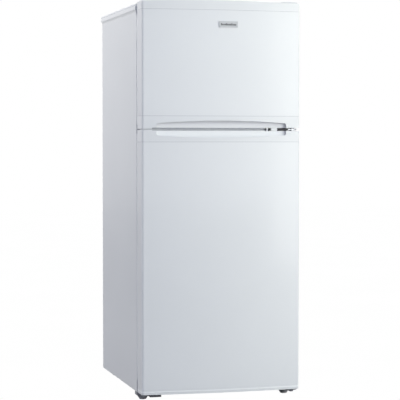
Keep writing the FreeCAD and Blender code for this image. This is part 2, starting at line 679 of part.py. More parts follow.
def thermostat():
    """Ceiling unit of the lower compartment: control knob in front, lamp behind a lens."""
    x, y = ("70", "190"), ("-95", "45")
    low = "(fridge_ceiling - 42)"
    owner = body("thermostat_block")
    rim = [(x[0], y[0]), (x[1], y[0]), (x[1], y[1]), (x[0], y[1])]
    pad(owner, "thermostat_pad", sketch(owner, "thermostat_rim", "XY_Plane", low, rim), "42")
    level = value(low)
    soften(owner, "thermostat_rounds", 5, lambda e: e.BoundBox.ZMax < level + 0.01)
    recess = block("lamp_recess", ("76", "130"), ("-88", "38"), (f"{low} - 1", "fridge_ceiling - 3"))
    bore = rod("knob_bore", "axle_radius + running_play", ("160", "-96", f"{low} + 20"), "20", "y")
    node(cut("thermostat_housing", owner, recess, bore), "thermostat_housing")
    lens = block("lens_plate", ("76", "130"), ("-88", "38"), (low, f"{low} + 2"))
    vents = [block("lens_vent", ("84", "122"), (f"{y0}", f"{y0} + 3"), (f"{low} - 1", f"{low} + 3"))
             for y0 in range(-76, 30, 14)]
    node(cut("lamp_lens", lens, *vents), "lamp_lens")
    bulb = [("0", "0"), ("7", "0"), ("7", "22"), ("9", "24"), ("11", "32"), ("11", "42"), ("7", "50"),
            ("0", "52")]
    node(turned("lamp_bulb", "103", "-14", f"{low} + 21", bulb, "y"), "lamp_bulb")
    knob = body("knob_turning")
    profile = [("0", "-15"), ("axle_radius", "-15"), ("axle_radius", "0.5"), ("17", "0.5"), ("17", "3"),
               ("14", "13"), ("0", "13")]
    spin(knob, "knob_turn", sketch(knob, "knob_profile", "XZ_Plane", "0", profile))
    soften(knob, "knob_round", 1, lambda e: e.BoundBox.ZMin > 12.9 and e.BoundBox.XLength > 20)
    knob.Placement = FreeCAD.Placement(Vector(), FreeCAD.Rotation(Vector(1, 0, 0), 90))
    place(knob, "160", "-95", f"{low} + 20")
    grip = block("knob_grip", ("157.5", "162.5"), ("-112", "-107"), (f"{low} + 7", f"{low} + 33"))
    node(fuse("thermostat_knob", knob, grip), "thermostat_knob")


def door_switch():
    """Lamp switch at the front of the ceiling; the shut door holds its plunger in."""
    x, z, tip = "-150", "(fridge_ceiling - 8.5)", f"({DOOR_BACK} + 0.3)"
    case = block("switch_case", (f"{x} - 11", f"{x} + 11"), ("front_plane + 6", "front_plane + 40"),
                 ("fridge_ceiling - 17", "fridge_ceiling"))
    bore = rod("switch_bore", "4 + running_play", (x, "front_plane", z), "36", "y")
    node(cut("door_switch_body", case, bore), "door_switch_body")
    profile = [("0", "0"), ("2.5", "0"), ("4", "1.5"), ("4", f"front_plane + 30 - {tip}"),
               ("0", f"front_plane + 30 - {tip}")]
    node(turned("door_switch_plunger", x, tip, z, profile, "y"), "door_switch_plunger")


def crisper_drawer():
    """Clear vegetable drawer with a finger rail along its front."""
    low, high = "(fridge_floor + 0.3)", "(fridge_floor + drawer_height)"
    box = tray("drawer_box", ("(-drawer_half)", "drawer_half"), ("drawer_front", "drawer_back"),
               (low, high), "drawer_wall", "10")
    rail = block("drawer_rail", ("-120", "120"), ("drawer_front - 2", "drawer_front + 1"),
                 (f"{high} - 24", f"{high} - 4"))
    node(fuse("crisper_drawer", box, rail), "crisper_drawer")


def inside_fittings():
    evaporators()
    shelves()
    freezer_wire_shelf()
    thermostat()
    door_switch()
    crisper_drawer()


# ---------------------------------------------------------------- feet, rollers and hinges

def feet_and_rollers():
    foot = [("0", "0"), ("foot_radius - 6", "0"), ("foot_radius - 5", "1"), ("foot_radius - 4.5", "3"),
            ("foot_radius - 0.5", "9"), ("foot_radius", "10"), ("foot_radius", "12"), ("stem_radius", "12"),
            ("stem_radius", "43"), ("0", "43")]
    reach = "roller_width/2"
    roller = [("0", f"-{reach} - 3"), ("axle_radius", f"-{reach} - 3"), ("axle_radius", f"-{reach}"),
              ("roller_radius - 1.5", f"-{reach}"), ("roller_radius", f"-{reach} + 1.5"),
              ("roller_radius", f"{reach} - 1.5"), ("roller_radius - 1.5", reach),
              ("axle_radius", reach), ("axle_radius", f"{reach} + 3"), ("0", f"{reach} + 3")]
    for name, side in (("left", -1), ("right", 1)):
        node(turned(f"front_foot_{name}", f"{side}*(cabinet_width/2 - foot_inset)",
                    "front_plane + rail_depth/2", "0", foot), f"front_foot_{name}")
        node(turned(f"rear_roller_{name}", f"{side}*(cabinet_width/2 - roller_inset)",
                    f"{BACK} - roller_rear", "roller_radius", roller, "x"), f"rear_roller_{name}")


def arm(name, level, thick, inner, reach):
    """Flat hinge arm from the cabinet's front to a little beyond the pin."""
    owner = body(name)
    front = f"({HINGE_Y} - {reach})"
    corners = [(inner, "front_plane - 2"), (f"{HINGE_X} - 14", front), (f"{HINGE_X} + 6", front),
               (f"{HINGE_X} + 14", f"{front} + 8"), (f"{HINGE_X} + 14", "front_plane - 2")]
    pad(owner, name + "_plate", sketch(owner, name + "_outline", "XY_Plane", level, corners), thick)
    return owner


def hinges():
    """Brackets with fixed pins on the right-hand side; returns their screws."""
    screws = []
    edge = f"{HINGE_X} + 14"
    flange_y = ("front_plane - 2", "front_plane")

    def drilled(name, solid, places):
        holes = [rod("hinge_hole", "2.3", place_of, "8", axis) for place_of, axis in places]
        return cut(name, solid, *holes)

    top = f"({COVER_TOP} + 4.3)"
    plate = block("top_plate", ("190", edge), (f"{HINGE_Y} - 12", "front_plane + 46"), (top, f"{top} + 2.5"))
    spacer = block("top_spacer", ("190", edge), ("front_plane + 4", "front_plane + 46"), (COVER_TOP, top))
    pin = rod("top_pin", "pin_radius", (HINGE_X, HINGE_Y, "door_top - 18"), f"{top} - door_top + 19")
    spots = [("203", "front_plane + 14"), ("223", "front_plane + 34")]
    node(drilled("top_hinge_bracket", fuse("top_hinge_solid", plate, spacer, pin),
                 [((x, y, f"{top} - 3"), "z") for x, y in spots]), "top_hinge_bracket")
    screws += [screw(x, y, f"{top} + 2.5", "z", 1, 2.4) for x, y in spots]

    flat = arm("middle_arm", "split_level - 1.5", "bracket", "136", "11")
    flange = block("middle_flange", ("136", edge), flange_y, ("split_level - 11", "split_level + 11"))
    pin = rod("middle_pin", "pin_radius", (HINGE_X, HINGE_Y, "split_level - 20"), "40")
    collar = rod("middle_collar", "7", (HINGE_X, HINGE_Y, "split_level - 4"), "8")
    spots = ["146", "176"]
    node(drilled("middle_hinge_bracket", fuse("middle_hinge_solid", flat, flange, pin, collar),
                 [((x, "front_plane - 6", "split_level + 6"), "y") for x in spots]), "middle_hinge_bracket")
    screws += [screw(x, "front_plane - 2", "split_level + 6", "y", -1, 1.9) for x in spots]

    flat = arm("bottom_arm", "door_bottom - 5", "bracket", "150", "20")
    flange = block("bottom_flange", ("150", edge), flange_y, ("door_bottom - 5", "rail_top - 4"))
    pin = rod("bottom_pin", "pin_radius", (HINGE_X, HINGE_Y, "door_bottom - 9"), "26")
    collar = rod("bottom_collar", "7", (HINGE_X, HINGE_Y, "door_bottom - 11"), "10.5")
    spots = ["165", "195"]
    node(drilled("bottom_hinge_bracket", fuse("bottom_hinge_solid", flat, flange, pin, collar),
                 [((x, "front_plane - 6", "rail_top - 14"), "y") for x in spots]), "bottom_hinge_bracket")
    screws += [screw(x, "front_plane - 2", "rail_top - 14", "y", -1, 1.9) for x in spots]
    return screws


# ---------------------------------------------------------------- doors

def door_prism(name, inset, back, z):
    """Upright solid with the bowed plan of a door, inset from its sides and front."""
    owner = body(name)
    side = f"(cabinet_width/2 - {inset})"
    chord = "(cabinet_width/2 - corner_round)"
    front, turn = f"({DOOR_EDGE} + {inset})", f"({DOOR_EDGE} + corner_round)"
    corners = [(f"-{side}", back), (f"-{side}", turn), (f"-{chord}", front), (chord, front),
               (side, turn), (side, back)]
    small = f"(corner_round - {inset})"
    bow = f"(({chord}^2 + door_bow^2)/(2*door_bow))"
    outline = sketch(owner, name + "_plan", "XY_Plane", z[0], corners,
                     {1: (small, -1), 2: (bow, -1), 3: (small, -1)})
    pad(owner, name + "_height", outline, f"({z[1]}) - ({z[0]})")
    return owner


def door_skin(label, z):
    """Steel wrapper of a door: front and sides, with its edges turned in at the back."""
    span = (f"{z[0]} + seam", f"{z[1]} - seam")
    inner = door_prism(label + "_inside", "skin", f"({DOOR_BACK} - skin)", (f"{z[0]} - 1", f"{z[1]} + 1"))
    window = block(label + "_window", ("-(cabinet_width/2 - 12)", "(cabinet_width/2 - 12)"),
                   (f"{DOOR_BACK} - 2*skin", f"{DOOR_BACK} + 1"), (f"{z[0]} - 1", f"{z[1]} + 1"))
    node(cut(label + "_fold", door_prism(label + "_outside", "0", DOOR_BACK, span), inner, window), label)


def pivot(name, z):
    """Bore in a cap for a hinge pin, and the boss around it."""
    length = f"({z[1]}) - ({z[0]})"
    bore = rod(name + "_bore", "pin_radius + running_play", (HINGE_X, HINGE_Y, z[0]), length)
    boss = rod(name + "_boss", "boss_radius", (HINGE_X, HINGE_Y, z[0]), length)
    return bore, boss


def hollow_cap(name, outer, hollow, boss):
    """Cap as a thin moulding that keeps the boss solid."""
    return cut(name, outer, cut(name + "_hollow", hollow, boss))


def crowned(name, item, wall):
    """Trim the top of a solid to the freezer door's shallow crown, or to one a wall's thickness lower."""
    radius = "(((cabinet_width/2)^2 + crown^2)/(2*crown))"
    axis_z = f"door_top + crown - {wall} - {radius}"
    drum = rod(name + "_drum", radius, ("0", f"{DOOR_FRONT} - 20", axis_z), "120", "y")
    return common(name, item, drum)


def arch(name, grow, up):
    """Prism of the grip's arched mouth, above (up=1) or below (up=-1) the door split."""
    owner = body(name)
    half, end = f"(grip_half + {grow})", f"(arch_end + {grow})"
    rise, turn = "(arch_rise - arch_end)", "arch_turn"
    corners = [(f"-{half}", "split_level"), (f"-{half}", f"split_level + {up}*({end} - {turn})"),
               (f"-{half} + {turn}", f"split_level + {up}*{end}"),
               (f"{half} - {turn}", f"split_level + {up}*{end}"),
               (half, f"split_level + {up}*({end} - {turn})"), (half, "split_level")]
    crest = f"((({half} - {turn})^2 + {rise}^2)/(2*{rise}))"
    outline = sketch(owner, name + "_mouth", "XZ_Plane", f"-({DOOR_FRONT} + 45)", corners,
                     {1: (turn, up), 2: (crest, up), 3: (turn, up)})
    pad(owner, name + "_depth", outline, "60")
    return owner


def scoop(name, grow):
    """Round bar whose lower face shapes the gently hollow back of the grip."""
    start = ("-(grip_half + 10)", f"{DOOR_FRONT} - grip_forward", "split_level")
    return rod(name, f"grip_radius + {grow}", start, "2*(grip_half + 10)", "x")


def grip_room(name, grow, up):
    """What the grip takes out of a cap, grown by a wall: the dish and, above, a hook behind its lip."""
    size = f"grip_trim + {grow}"
    dish = common(name + "_dish", scoop(name + "_bar", size), arch(name + "_arch", grow, up))
    if up < 0:
        return dish
    behind = door_prism(name + "_behind", f"(grip_lip - {grow})", DOOR_BACK,
                        ("split_level", "split_level + 60"))
    tall = common(name + "_tall", scoop(name + "_tall_bar", size),
                  arch(name + "_tall_arch", f"(undercut + {grow})", up))
    return fuse(name, dish, common(name + "_hook", tall, behind))


def gap_steps(name, up):
    """Wider part of the gap between the doors: a slit along the front, and room for the hinge arm."""
    z = sorted((f"split_level + {up}*half_gap", f"split_level - {up}*2"), key=value)
    slit = block(name + "_slit", (f"{LEFT} + tab_width", f"{RIGHT} + 1"),
                 (f"{DOOR_FRONT} - 1", f"{DOOR_FRONT} + slit_depth"), z)
    arm_room = block(name + "_arm_room", (f"{HINGE_X} - 92", f"{RIGHT} + 1"),
                     (f"{DOOR_FRONT} - 1", f"{DOOR_BACK} + 1"), z)
    return fuse(name, slit, arm_room)


def handle_cap(label, z, up):
    """Cap with the grip; its edge steps back except at the left end."""
    outer = door_prism(label + "_outer", "0", DOOR_BACK, sorted(z, key=value))
    inner_z = sorted((f"split_level + {up}*(half_gap + cap_wall)", f"split_level + {up}*60"), key=value)
    hollow = door_prism(label + "_inner", "cap_wall", f"({DOOR_BACK} - cap_wall)", inner_z)
    bore, boss = pivot(label + "_pin",
                       sorted((f"split_level + {up}*half_gap", f"split_level + {up}*24"), key=value))
    space = cut(label + "_space", hollow, grip_room(label + "_wall", "cap_wall", up))
    shell = hollow_cap(label + "_shell", outer, space, boss)
    node(cut(label + "_moulding", shell, gap_steps(label + "_gap", up),
             grip_room(label + "_grip", "0", up), bore), label)


def handle_trim(label, up):
    """Glossy lining on the back of the grip."""
    node(cut(label, grip_room(label + "_room", "0", up), scoop(label + "_inner", "0"),
             gap_steps(label + "_gap", up)), label)


def door_liner(label, plate_z, dyke_z):
    """Inner panel with a raised rim that reaches into the compartment; returns the rim's filling."""
    plate = block(label + "_plate", ("-(cabinet_width/2 - 12)", "(cabinet_width/2 - 12)"),
                  (f"{DOOR_BACK} - liner", DOOR_BACK), (f"{plate_z[0]} + seam", f"{plate_z[1]} - seam"))

    def ring(name, wall, depth):
        half, low, high = f"(dyke_half - {wall})", f"{dyke_z[0]} + {wall}", f"{dyke_z[1]} - {wall}"
        near = f"(dyke_half - dyke_width + {wall})"
        y = (f"{DOOR_BACK} - liner", f"{DOOR_BACK} + {depth}")
        outer = block(name + "_out", (f"-{half}", half), y, (low, high))
        inner = block(name + "_in", (f"-{near}", near), (f"{y[0]} - 1", f"{y[1]} + 1"),
                      (f"{dyke_z[0]} + dyke_width - {wall}", f"{dyke_z[1]} - dyke_width + {wall}"))
        return cut(name, outer, inner)

    rim = ring(label + "_rim", "0", "dyke_height")
    void = ring(label + "_void", "liner", "(dyke_height - liner)")
    node(cut(label + "_sheet", fuse(label + "_solid", plate, rim), void), label)
    return ring(label + "_filling", "liner", "(dyke_height - liner)")


def door_gasket(label, z):
    """Soft magnetic seal: a grooved ring that stops just short of the cabinet's face.

    It lies further in on the hinge side, where a wider ring would rub as the door turns.
    """
    def slab(name, inward, y):
        return block(name, (f"{LEFT} + gasket_left + {inward}", f"{RIGHT} - gasket_right - {inward}"), y,
                     (f"{z[0]} + {inward}", f"{z[1]} - {inward}"))

    y = (DOOR_BACK, "front_plane - gasket_clear")
    hole = slab(label + "_hole", "gasket_width", (f"{y[0]} - 1", f"{y[1]} + 1"))
    wide = slab(label + "_groove", "(-1)", (f"{DOOR_BACK} + 2.5", f"{DOOR_BACK} + 6.5"))
    core = slab(label + "_core", "2.5", (f"{DOOR_BACK} + 1", f"{DOOR_BACK} + 8"))
    ring = cut(label + "_ring", slab(label + "_outer", "0", y), hole)
    node(cut(label, ring, cut(label + "_fold", wide, core)), label)


def door_foam(label, skin_z, low_cap, high_cap, filling, rooms, bores, crown_it=False):
    """Insulation of a door: the middle behind the skin and an extension into each cap."""
    back = f"({DOOR_BACK} - liner)"
    middle = door_prism(label + "_middle", "skin", back, skin_z)
    cap_back = f"({DOOR_BACK} - cap_wall)"
    low = door_prism(label + "_low", "cap_wall", cap_back, low_cap)
    high = door_prism(label + "_high", "cap_wall", cap_back, high_cap)
    if crown_it:
        high = crowned(label + "_high_crowned", high, "cap_wall")
    node(cut(label + "_block", fuse(label + "_solid", middle, low, high, filling), *rooms, *bores), label)


def freezer_door():
    skin_z = (FREEZER_SEAM_LOW, FREEZER_SEAM_HIGH)
    door_skin("freezer_door_skin", skin_z)
    peak = "(door_top + crown + 1)"
    block_z = (FREEZER_SEAM_HIGH, peak)
    outer = crowned("freezer_top_outer", door_prism("freezer_top_block", "0", DOOR_BACK, block_z), "0")
    space = door_prism("freezer_top_space", "cap_wall", f"({DOOR_BACK} - cap_wall)",
                       (f"{FREEZER_SEAM_HIGH} - 1", peak))
    hollow = crowned("freezer_top_hollow", space, "cap_wall")
    bore, boss = pivot("freezer_top", ("door_top - 20", "door_top + crown + 2"))
    shell = hollow_cap("freezer_top_shell", outer, hollow, boss)
    node(cut("freezer_door_top_cap", shell, bore), "freezer_door_top_cap")
    handle_cap("freezer_door_bottom_cap", ("split_level + tab_half_gap", FREEZER_SEAM_LOW), 1)
    handle_trim("freezer_handle_trim", 1)
    filling = door_liner("freezer_door_liner", skin_z, ("freezer_floor + 22", "freezer_ceiling - 12"))
    door_gasket("freezer_door_gasket", ("split_level + 13", "cabinet_top - 16"))
    rooms = [grip_room("freezer_foam_grip", "cap_wall", 1)]
    bores = [rod("freezer_foam_low_boss", "boss_radius", (HINGE_X, HINGE_Y, "split_level"), "24"),
             rod("freezer_foam_high_boss", "boss_radius", (HINGE_X, HINGE_Y, "door_top - 20"), "40")]
    door_foam("freezer_door_foam", skin_z, ("split_level + half_gap + cap_wall", FREEZER_SEAM_LOW),
              (FREEZER_SEAM_HIGH, peak), filling, rooms, bores, True)
    bin_y = (f"({DOOR_BACK} + 0.2)", f"({DOOR_BACK} + 68)")
    bin_z = ("(freezer_floor + 44)", "(freezer_floor + 124)")
    node(tray("freezer_door_bin", ("(-bin_half)", "bin_half"), bin_y, bin_z, "bin_wall", "bin_round"),
         "freezer_door_bin")
    badge()


def badge():
    """Plain name-plate blank on the freezer door's front."""
    owner = body("badge_block")
    corners, arcs = rounded(("(-11.5)", "44.5"), ("1080.5", "1098"), "2")
    rim = sketch(owner, "badge_rim", "XZ_Plane", f"-({DOOR_FRONT} + 3)", corners, arcs)
    pad(owner, "badge_pad", rim, "4.8")
    node(cut("badge_plate", owner, door_prism("badge_seat", "0", DOOR_BACK, ("1070", "1110"))), "badge_plate")


def fridge_door():
    skin_z = (FRIDGE_SEAM_LOW, FRIDGE_SEAM_HIGH)
    door_skin("fridge_door_skin", skin_z)
    outer = door_prism("fridge_bottom_block", "0", DOOR_BACK, ("door_bottom", FRIDGE_SEAM_LOW))
    hollow = door_prism("fridge_bottom_space", "cap_wall", f"({DOOR_BACK} - cap_wall)",
                        ("door_bottom + cap_wall", f"{FRIDGE_SEAM_LOW} + 1"))
    bore, boss = pivot("fridge_bottom", ("door_bottom", "door_bottom + 20"))
    shell = hollow_cap("fridge_bottom_shell", outer, hollow, boss)
    node(cut("fridge_door_bottom_cap", shell, bore), "fridge_door_bottom_cap")
    handle_cap("fridge_door_top_cap", ("split_level - tab_half_gap", FRIDGE_SEAM_HIGH), -1)
    handle_trim("fridge_handle_trim", -1)
    filling = door_liner("fridge_door_liner", skin_z, ("fridge_floor + 12", "fridge_ceiling - 20"))
    door_gasket("fridge_door_gasket", ("rail_top + 2", "split_level - 13"))
    rooms = [grip_room("fridge_foam_grip", "cap_wall", -1)]
    bores = [rod("fridge_foam_high_boss", "boss_radius", (HINGE_X, HINGE_Y, "split_level - 24"), "24"),
             rod("fridge_foam_low_boss", "boss_radius", (HINGE_X, HINGE_Y, "door_bottom"), "20")]
    door_foam("fridge_door_foam", skin_z, ("door_bottom + cap_wall", FRIDGE_SEAM_LOW),
              (FRIDGE_SEAM_HIGH, "split_level - half_gap - cap_wall"), filling, rooms, bores)
    x, y = ("(-bin_half)", "bin_half"), (f"({DOOR_BACK} + 0.2)", f"({DOOR_BACK} + 92)")
    balconies = [tray(f"door_bin_{i}", x, y, (f"({z})", f"({z} + 74)"), "bin_wall", "bin_round")
                 for i, z in enumerate((584, 394), start=1)]
    node(group("fridge_door_bins", balconies), "fridge_door_bins")
    node(tray("bottle_bin", x, y, ("(fridge_floor + 34)", "(fridge_floor + 134)"), "bin_wall", "bin_round"),
         "bottle_bin")


# ---------------------------------------------------------------- build

def check_document():
    for item in doc.Objects:
        if "Invalid" in item.State or "Error" in item.State:
            raise RuntimeError(f"{item.Name} failed: {item.State}")
    for item in NODES:
        if item.Shape.isNull() or not item.Shape.isValid() or not item.Shape.Solids:
            raise RuntimeError(f"{item.Label} has no valid solid")


cabinet_shell()
compressor_bay()
fasteners = condenser()
inside_fittings()
feet_and_rollers()
fasteners += hinges()
node(group("cabinet_screws", fasteners), "cabinet_screws")
freezer_door()
fridge_door()
doc.recompute()
check_document()
os.makedirs("parts", exist_ok=True)
for item in NODES:
    item.Shape.exportStep(f"parts/{item.Label}.step")
print(len(NODES), "nodes written")
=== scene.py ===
"""Looks of a compact top-freezer refrigerator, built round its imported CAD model.  Metres, +Z up."""
import json
import math

import bmesh
import bpy
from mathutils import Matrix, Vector


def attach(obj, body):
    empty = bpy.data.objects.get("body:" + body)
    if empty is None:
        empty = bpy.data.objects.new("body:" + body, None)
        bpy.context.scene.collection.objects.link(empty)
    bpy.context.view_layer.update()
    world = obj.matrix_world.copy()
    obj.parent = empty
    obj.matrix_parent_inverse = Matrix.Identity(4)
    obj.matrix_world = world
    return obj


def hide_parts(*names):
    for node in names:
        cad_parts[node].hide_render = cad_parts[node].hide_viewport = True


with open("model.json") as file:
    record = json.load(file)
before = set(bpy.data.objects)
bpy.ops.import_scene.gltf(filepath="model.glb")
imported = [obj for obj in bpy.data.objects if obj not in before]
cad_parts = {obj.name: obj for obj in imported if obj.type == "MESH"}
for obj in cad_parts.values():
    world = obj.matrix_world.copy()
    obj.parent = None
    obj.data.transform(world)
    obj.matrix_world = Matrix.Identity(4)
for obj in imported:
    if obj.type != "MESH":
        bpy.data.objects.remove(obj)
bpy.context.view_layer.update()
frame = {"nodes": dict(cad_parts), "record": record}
NODES = frame["nodes"]

MM = 0.001
SLOT_OF = {part["node"]: part["material_slot"] for part in frame["record"]["subparts"]}


# ---------------------------------------------------------------- materials

def new_material(name):
    made = bpy.data.materials.new(name)
    made.use_nodes = True
    return made, made.node_tree.nodes, made.node_tree.links, made.node_tree.nodes["Principled BSDF"]


def noise(nodes, links, scale, detail=3.0, stretch=(1, 1, 1), seed=0.0):
    """Solid noise in the row frame; stretch squeezes it along an axis."""
    place = nodes.new("ShaderNodeTexCoord")
    turn = nodes.new("ShaderNodeMapping")
    turn.inputs["Scale"].default_value = stretch
    turn.inputs["Location"].default_value = (seed, seed * 0.7, seed * 1.3)
    links.new(place.outputs["Object"], turn.inputs["Vector"])
    made = nodes.new("ShaderNodeTexNoise")
    made.inputs["Scale"].default_value = scale
    made.inputs["Detail"].default_value = detail
    links.new(turn.outputs["Vector"], made.inputs["Vector"])
    return made.outputs["Fac"]


def ramp(nodes, links, source, low, high, start=0.3, end=0.7):
    """Map a 0-1 value to a colour between low and high."""
    made = nodes.new("ShaderNodeValToRGB")
    made.color_ramp.elements[0].position, made.color_ramp.elements[0].color = start, (*low, 1)
    made.color_ramp.elements[1].position, made.color_ramp.elements[1].color = end, (*high, 1)
    links.new(source, made.inputs["Fac"])
    return made.outputs["Color"]


def spread(nodes, links, source, low, high):
    made = nodes.new("ShaderNodeMapRange")
    made.inputs["To Min"].default_value, made.inputs["To Max"].default_value = low, high
    links.new(source, made.inputs["Value"])
    return made.outputs["Result"]


def bump(nodes, links, shader, layers):
    """Stack bump layers of (height, strength, depth in metres) on a shader."""
    normal = None
    for height, strength, depth in layers:
        made = nodes.new("ShaderNodeBump")
        made.inputs["Strength"].default_value = strength
        made.inputs["Distance"].default_value = depth
        links.new(height, made.inputs["Height"])
        if normal:
            links.new(normal, made.inputs["Normal"])
        normal = made.outputs["Normal"]
    links.new(normal, shader.inputs["Normal"])


def surface(name, color, rough, metallic=0.0, tone=0.03, grain=600, grain_depth=0.00003, wave=6, coat=0.0,
            stretch=(1, 1, 1), transmission=0.0):
    """Painted, moulded or metal surface with cloudy tone, a fine grain and uneven gloss."""
    made, nodes, links, shader = new_material(name)
    cloud = noise(nodes, links, wave, 4.0, stretch, 1.7)
    fine = noise(nodes, links, grain, 2.0, stretch, 4.1)
    low = tuple(c * (1 - tone) for c in color)
    high = tuple(min(c * (1 + tone), 1) for c in color)
    links.new(ramp(nodes, links, cloud, low, high), shader.inputs["Base Color"])
    links.new(spread(nodes, links, cloud, rough * 0.85, rough * 1.15), shader.inputs["Roughness"])
    bump(nodes, links, shader, [(fine, 0.35, grain_depth)])
    shader.inputs["Metallic"].default_value = metallic
    shader.inputs["IOR"].default_value = 1.5
    shader.inputs["Coat Weight"].default_value = coat
    shader.inputs["Coat Roughness"].default_value = 0.08
    shader.inputs["Transmission Weight"].default_value = transmission
    return made


MATERIALS = {
    "white_paint": surface("enamel", (0.78, 0.785, 0.80), 0.33, tone=0.008, grain=420, grain_depth=0.00002,
                           coat=0.25),
    "white_plastic": surface("lid_plastic", (0.80, 0.805, 0.82), 0.36, tone=0.01, grain=900),
    "cap_plastic": surface("cap_plastic", (0.77, 0.775, 0.79), 0.34, tone=0.01, grain=900),
    "silver_plastic": surface("grip_plastic", (0.84, 0.845, 0.86), 0.07, tone=0.015, grain=1500,
                              grain_depth=0.00001, coat=0.3),
    "liner_plastic": surface("liner_plastic", (0.74, 0.75, 0.77), 0.4, tone=0.01, grain=700),
    "gasket_rubber": surface("gasket_vinyl", (0.80, 0.81, 0.83), 0.6, tone=0.05, grain=1200),
    "bin_plastic": surface("bin_plastic", (0.78, 0.84, 0.87), 0.18, tone=0.02, transmission=0.55),
    "drawer_plastic": surface("drawer_plastic", (0.76, 0.84, 0.88), 0.16, tone=0.02, transmission=0.7),
    "glass": surface("shelf_glass", (0.80, 0.90, 0.87), 0.05, tone=0.01, transmission=0.9, grain=90,
                     grain_depth=0.00001),
    "lens_plastic": surface("lens_plastic", (0.82, 0.84, 0.86), 0.35, tone=0.01, transmission=0.5),
    "bulb_glass": surface("bulb_glass", (0.92, 0.90, 0.84), 0.3, tone=0.02, transmission=0.4),
    "coated_wire": surface("dipped_wire", (0.78, 0.79, 0.80), 0.3, tone=0.02),
    "foam": surface("foam", (0.72, 0.62, 0.38), 0.85, tone=0.12, grain=260, grain_depth=0.0006, wave=30),
    "galvanised_steel": surface("galvanised_steel", (0.52, 0.54, 0.56), 0.45, 0.9, tone=0.10, grain=120,
                                grain_depth=0.00003, wave=60),
    "hinge_steel": surface("zinc_plate", (0.62, 0.63, 0.64), 0.32, 0.95, tone=0.06, grain=800, wave=90),
    "aluminium": surface("roll_bond_aluminium", (0.70, 0.71, 0.73), 0.38, 0.9, tone=0.04, grain=500),
    "evaporator_coat": surface("cold_plate_paint", (0.72, 0.74, 0.76), 0.42, tone=0.02, grain=500),
    "copper": surface("drawn_copper", (0.66, 0.30, 0.17), 0.3, 1.0, tone=0.10, grain=700, wave=40),
    "black_paint": surface("black_enamel", (0.018, 0.018, 0.02), 0.35, tone=0.2, grain=500, coat=0.2),
    "black_plastic": surface("black_plastic", (0.025, 0.025, 0.028), 0.5, tone=0.15, grain=900),
    "rubber": surface("grommet_rubber", (0.02, 0.02, 0.02), 0.75, tone=0.2, grain=900),
    "foot_plastic": surface("foot_plastic", (0.46, 0.46, 0.48), 0.5, tone=0.1, grain=900),
    "dark_steel": surface("grey_primer", (0.30, 0.30, 0.32), 0.45, 0.1, tone=0.15, grain=500),
    "knob_plastic": surface("knob_plastic", (0.62, 0.63, 0.65), 0.3, tone=0.02, grain=900),
}

BADGE = surface("badge_plate", (0.58, 0.585, 0.60), 0.35, tone=0.06, grain=900, stretch=(1, 1, 14))
BADGE_MARK = surface("badge_mark", (0.07, 0.07, 0.075), 0.4, tone=0.2, grain=900)
# Painted shade for the slit between the doors: darker grey on the freezer side, paler grey on the fridge
# side, where the light from above reaches.
GAP_SHADE_STRIPS = {1: surface("upper_gap_painted_shade", (0.40, 0.41, 0.44), 0.5, tone=0.04, grain=900),
          -1: surface("lower_gap_painted_shade", (0.52, 0.53, 0.56), 0.5, tone=0.04, grain=900)}
# Grey painted as the shadow inside narrow joints.
SEAM = surface("joint_shadow", (0.33, 0.34, 0.37), 0.6, tone=0.05, grain=900)
# Paler grey painted as the lighter shade of joints that catch more light, and of the slit ends.
PALE_JOINT_SHADE = surface("pale_joint_shade", (0.66, 0.67, 0.69), 0.6, tone=0.04, grain=900)
# Painted highlight: the bead is the cap's plastic, made brighter for the light on its rounded lip.
BEAD_HIGHLIGHT = surface("bead_painted_highlight", (0.90, 0.905, 0.915), 0.3, tone=0.01, grain=900)
# Finishes for single nodes: the badge plate's own finish, and the two grip trims. The trims are one plastic,
# painted lighter on the freezer door and darker on the fridge door as painted light and shade in their
# recesses.
FINISH_AND_PAINTED_LIGHT = {
    "freezer_handle_trim": surface("upper_grip_painted_light", (0.90, 0.905, 0.92), 0.12, tone=0.01, grain=1500,
                                   grain_depth=0.00001, coat=0.4),
    "fridge_handle_trim": surface("lower_grip_painted_shade", (0.79, 0.795, 0.81), 0.12, tone=0.01, grain=1500,
                                  grain_depth=0.00001, coat=0.2),
    "badge_plate": BADGE,
}


for node_name, node in NODES.items():
    node.data.materials.clear()
    node.data.materials.append(FINISH_AND_PAINTED_LIGHT.get(node_name) or MATERIALS[SLOT_OF[node_name]])


# ---------------------------------------------------------------- mesh helpers, in millimetres

def piece(name, made, slot, body, stands_for=(), edge=0.0, smooth=35, material=None):
    """Finish a bmesh drawn in millimetres as a piece that rides a CAD body."""
    bmesh.ops.scale(made, vec=(MM, MM, MM), verts=made.verts)
    bmesh.ops.recalc_face_normals(made, faces=made.faces)
    mesh = bpy.data.meshes.new(name)
    made.to_mesh(mesh)
    made.free()
    mesh.materials.append(material or MATERIALS[slot])
    mesh.shade_smooth()
    mesh.set_sharp_from_angle(angle=math.radians(smooth))
    thing = bpy.data.objects.new(name, mesh)
    bpy.context.scene.collection.objects.link(thing)
    if edge:
        round_over = thing.modifiers.new("edge_round", "BEVEL")
        round_over.width, round_over.segments = edge * MM, 2
        round_over.limit_method, round_over.angle_limit = "ANGLE", math.radians(40)
    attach(thing, body)
    if stands_for:
        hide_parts(*stands_for)
    return thing


def box(made, low, high):
    spots = [made.verts.new((x, y, z)) for x in (low[0], high[0]) for y in (low[1], high[1])
             for z in (low[2], high[2])]
    for face in ((0, 1, 3, 2), (4, 6, 7, 5), (0, 4, 5, 1), (2, 3, 7, 6), (0, 2, 6, 4), (1, 5, 7, 3)):
        made.faces.new([spots[i] for i in face])


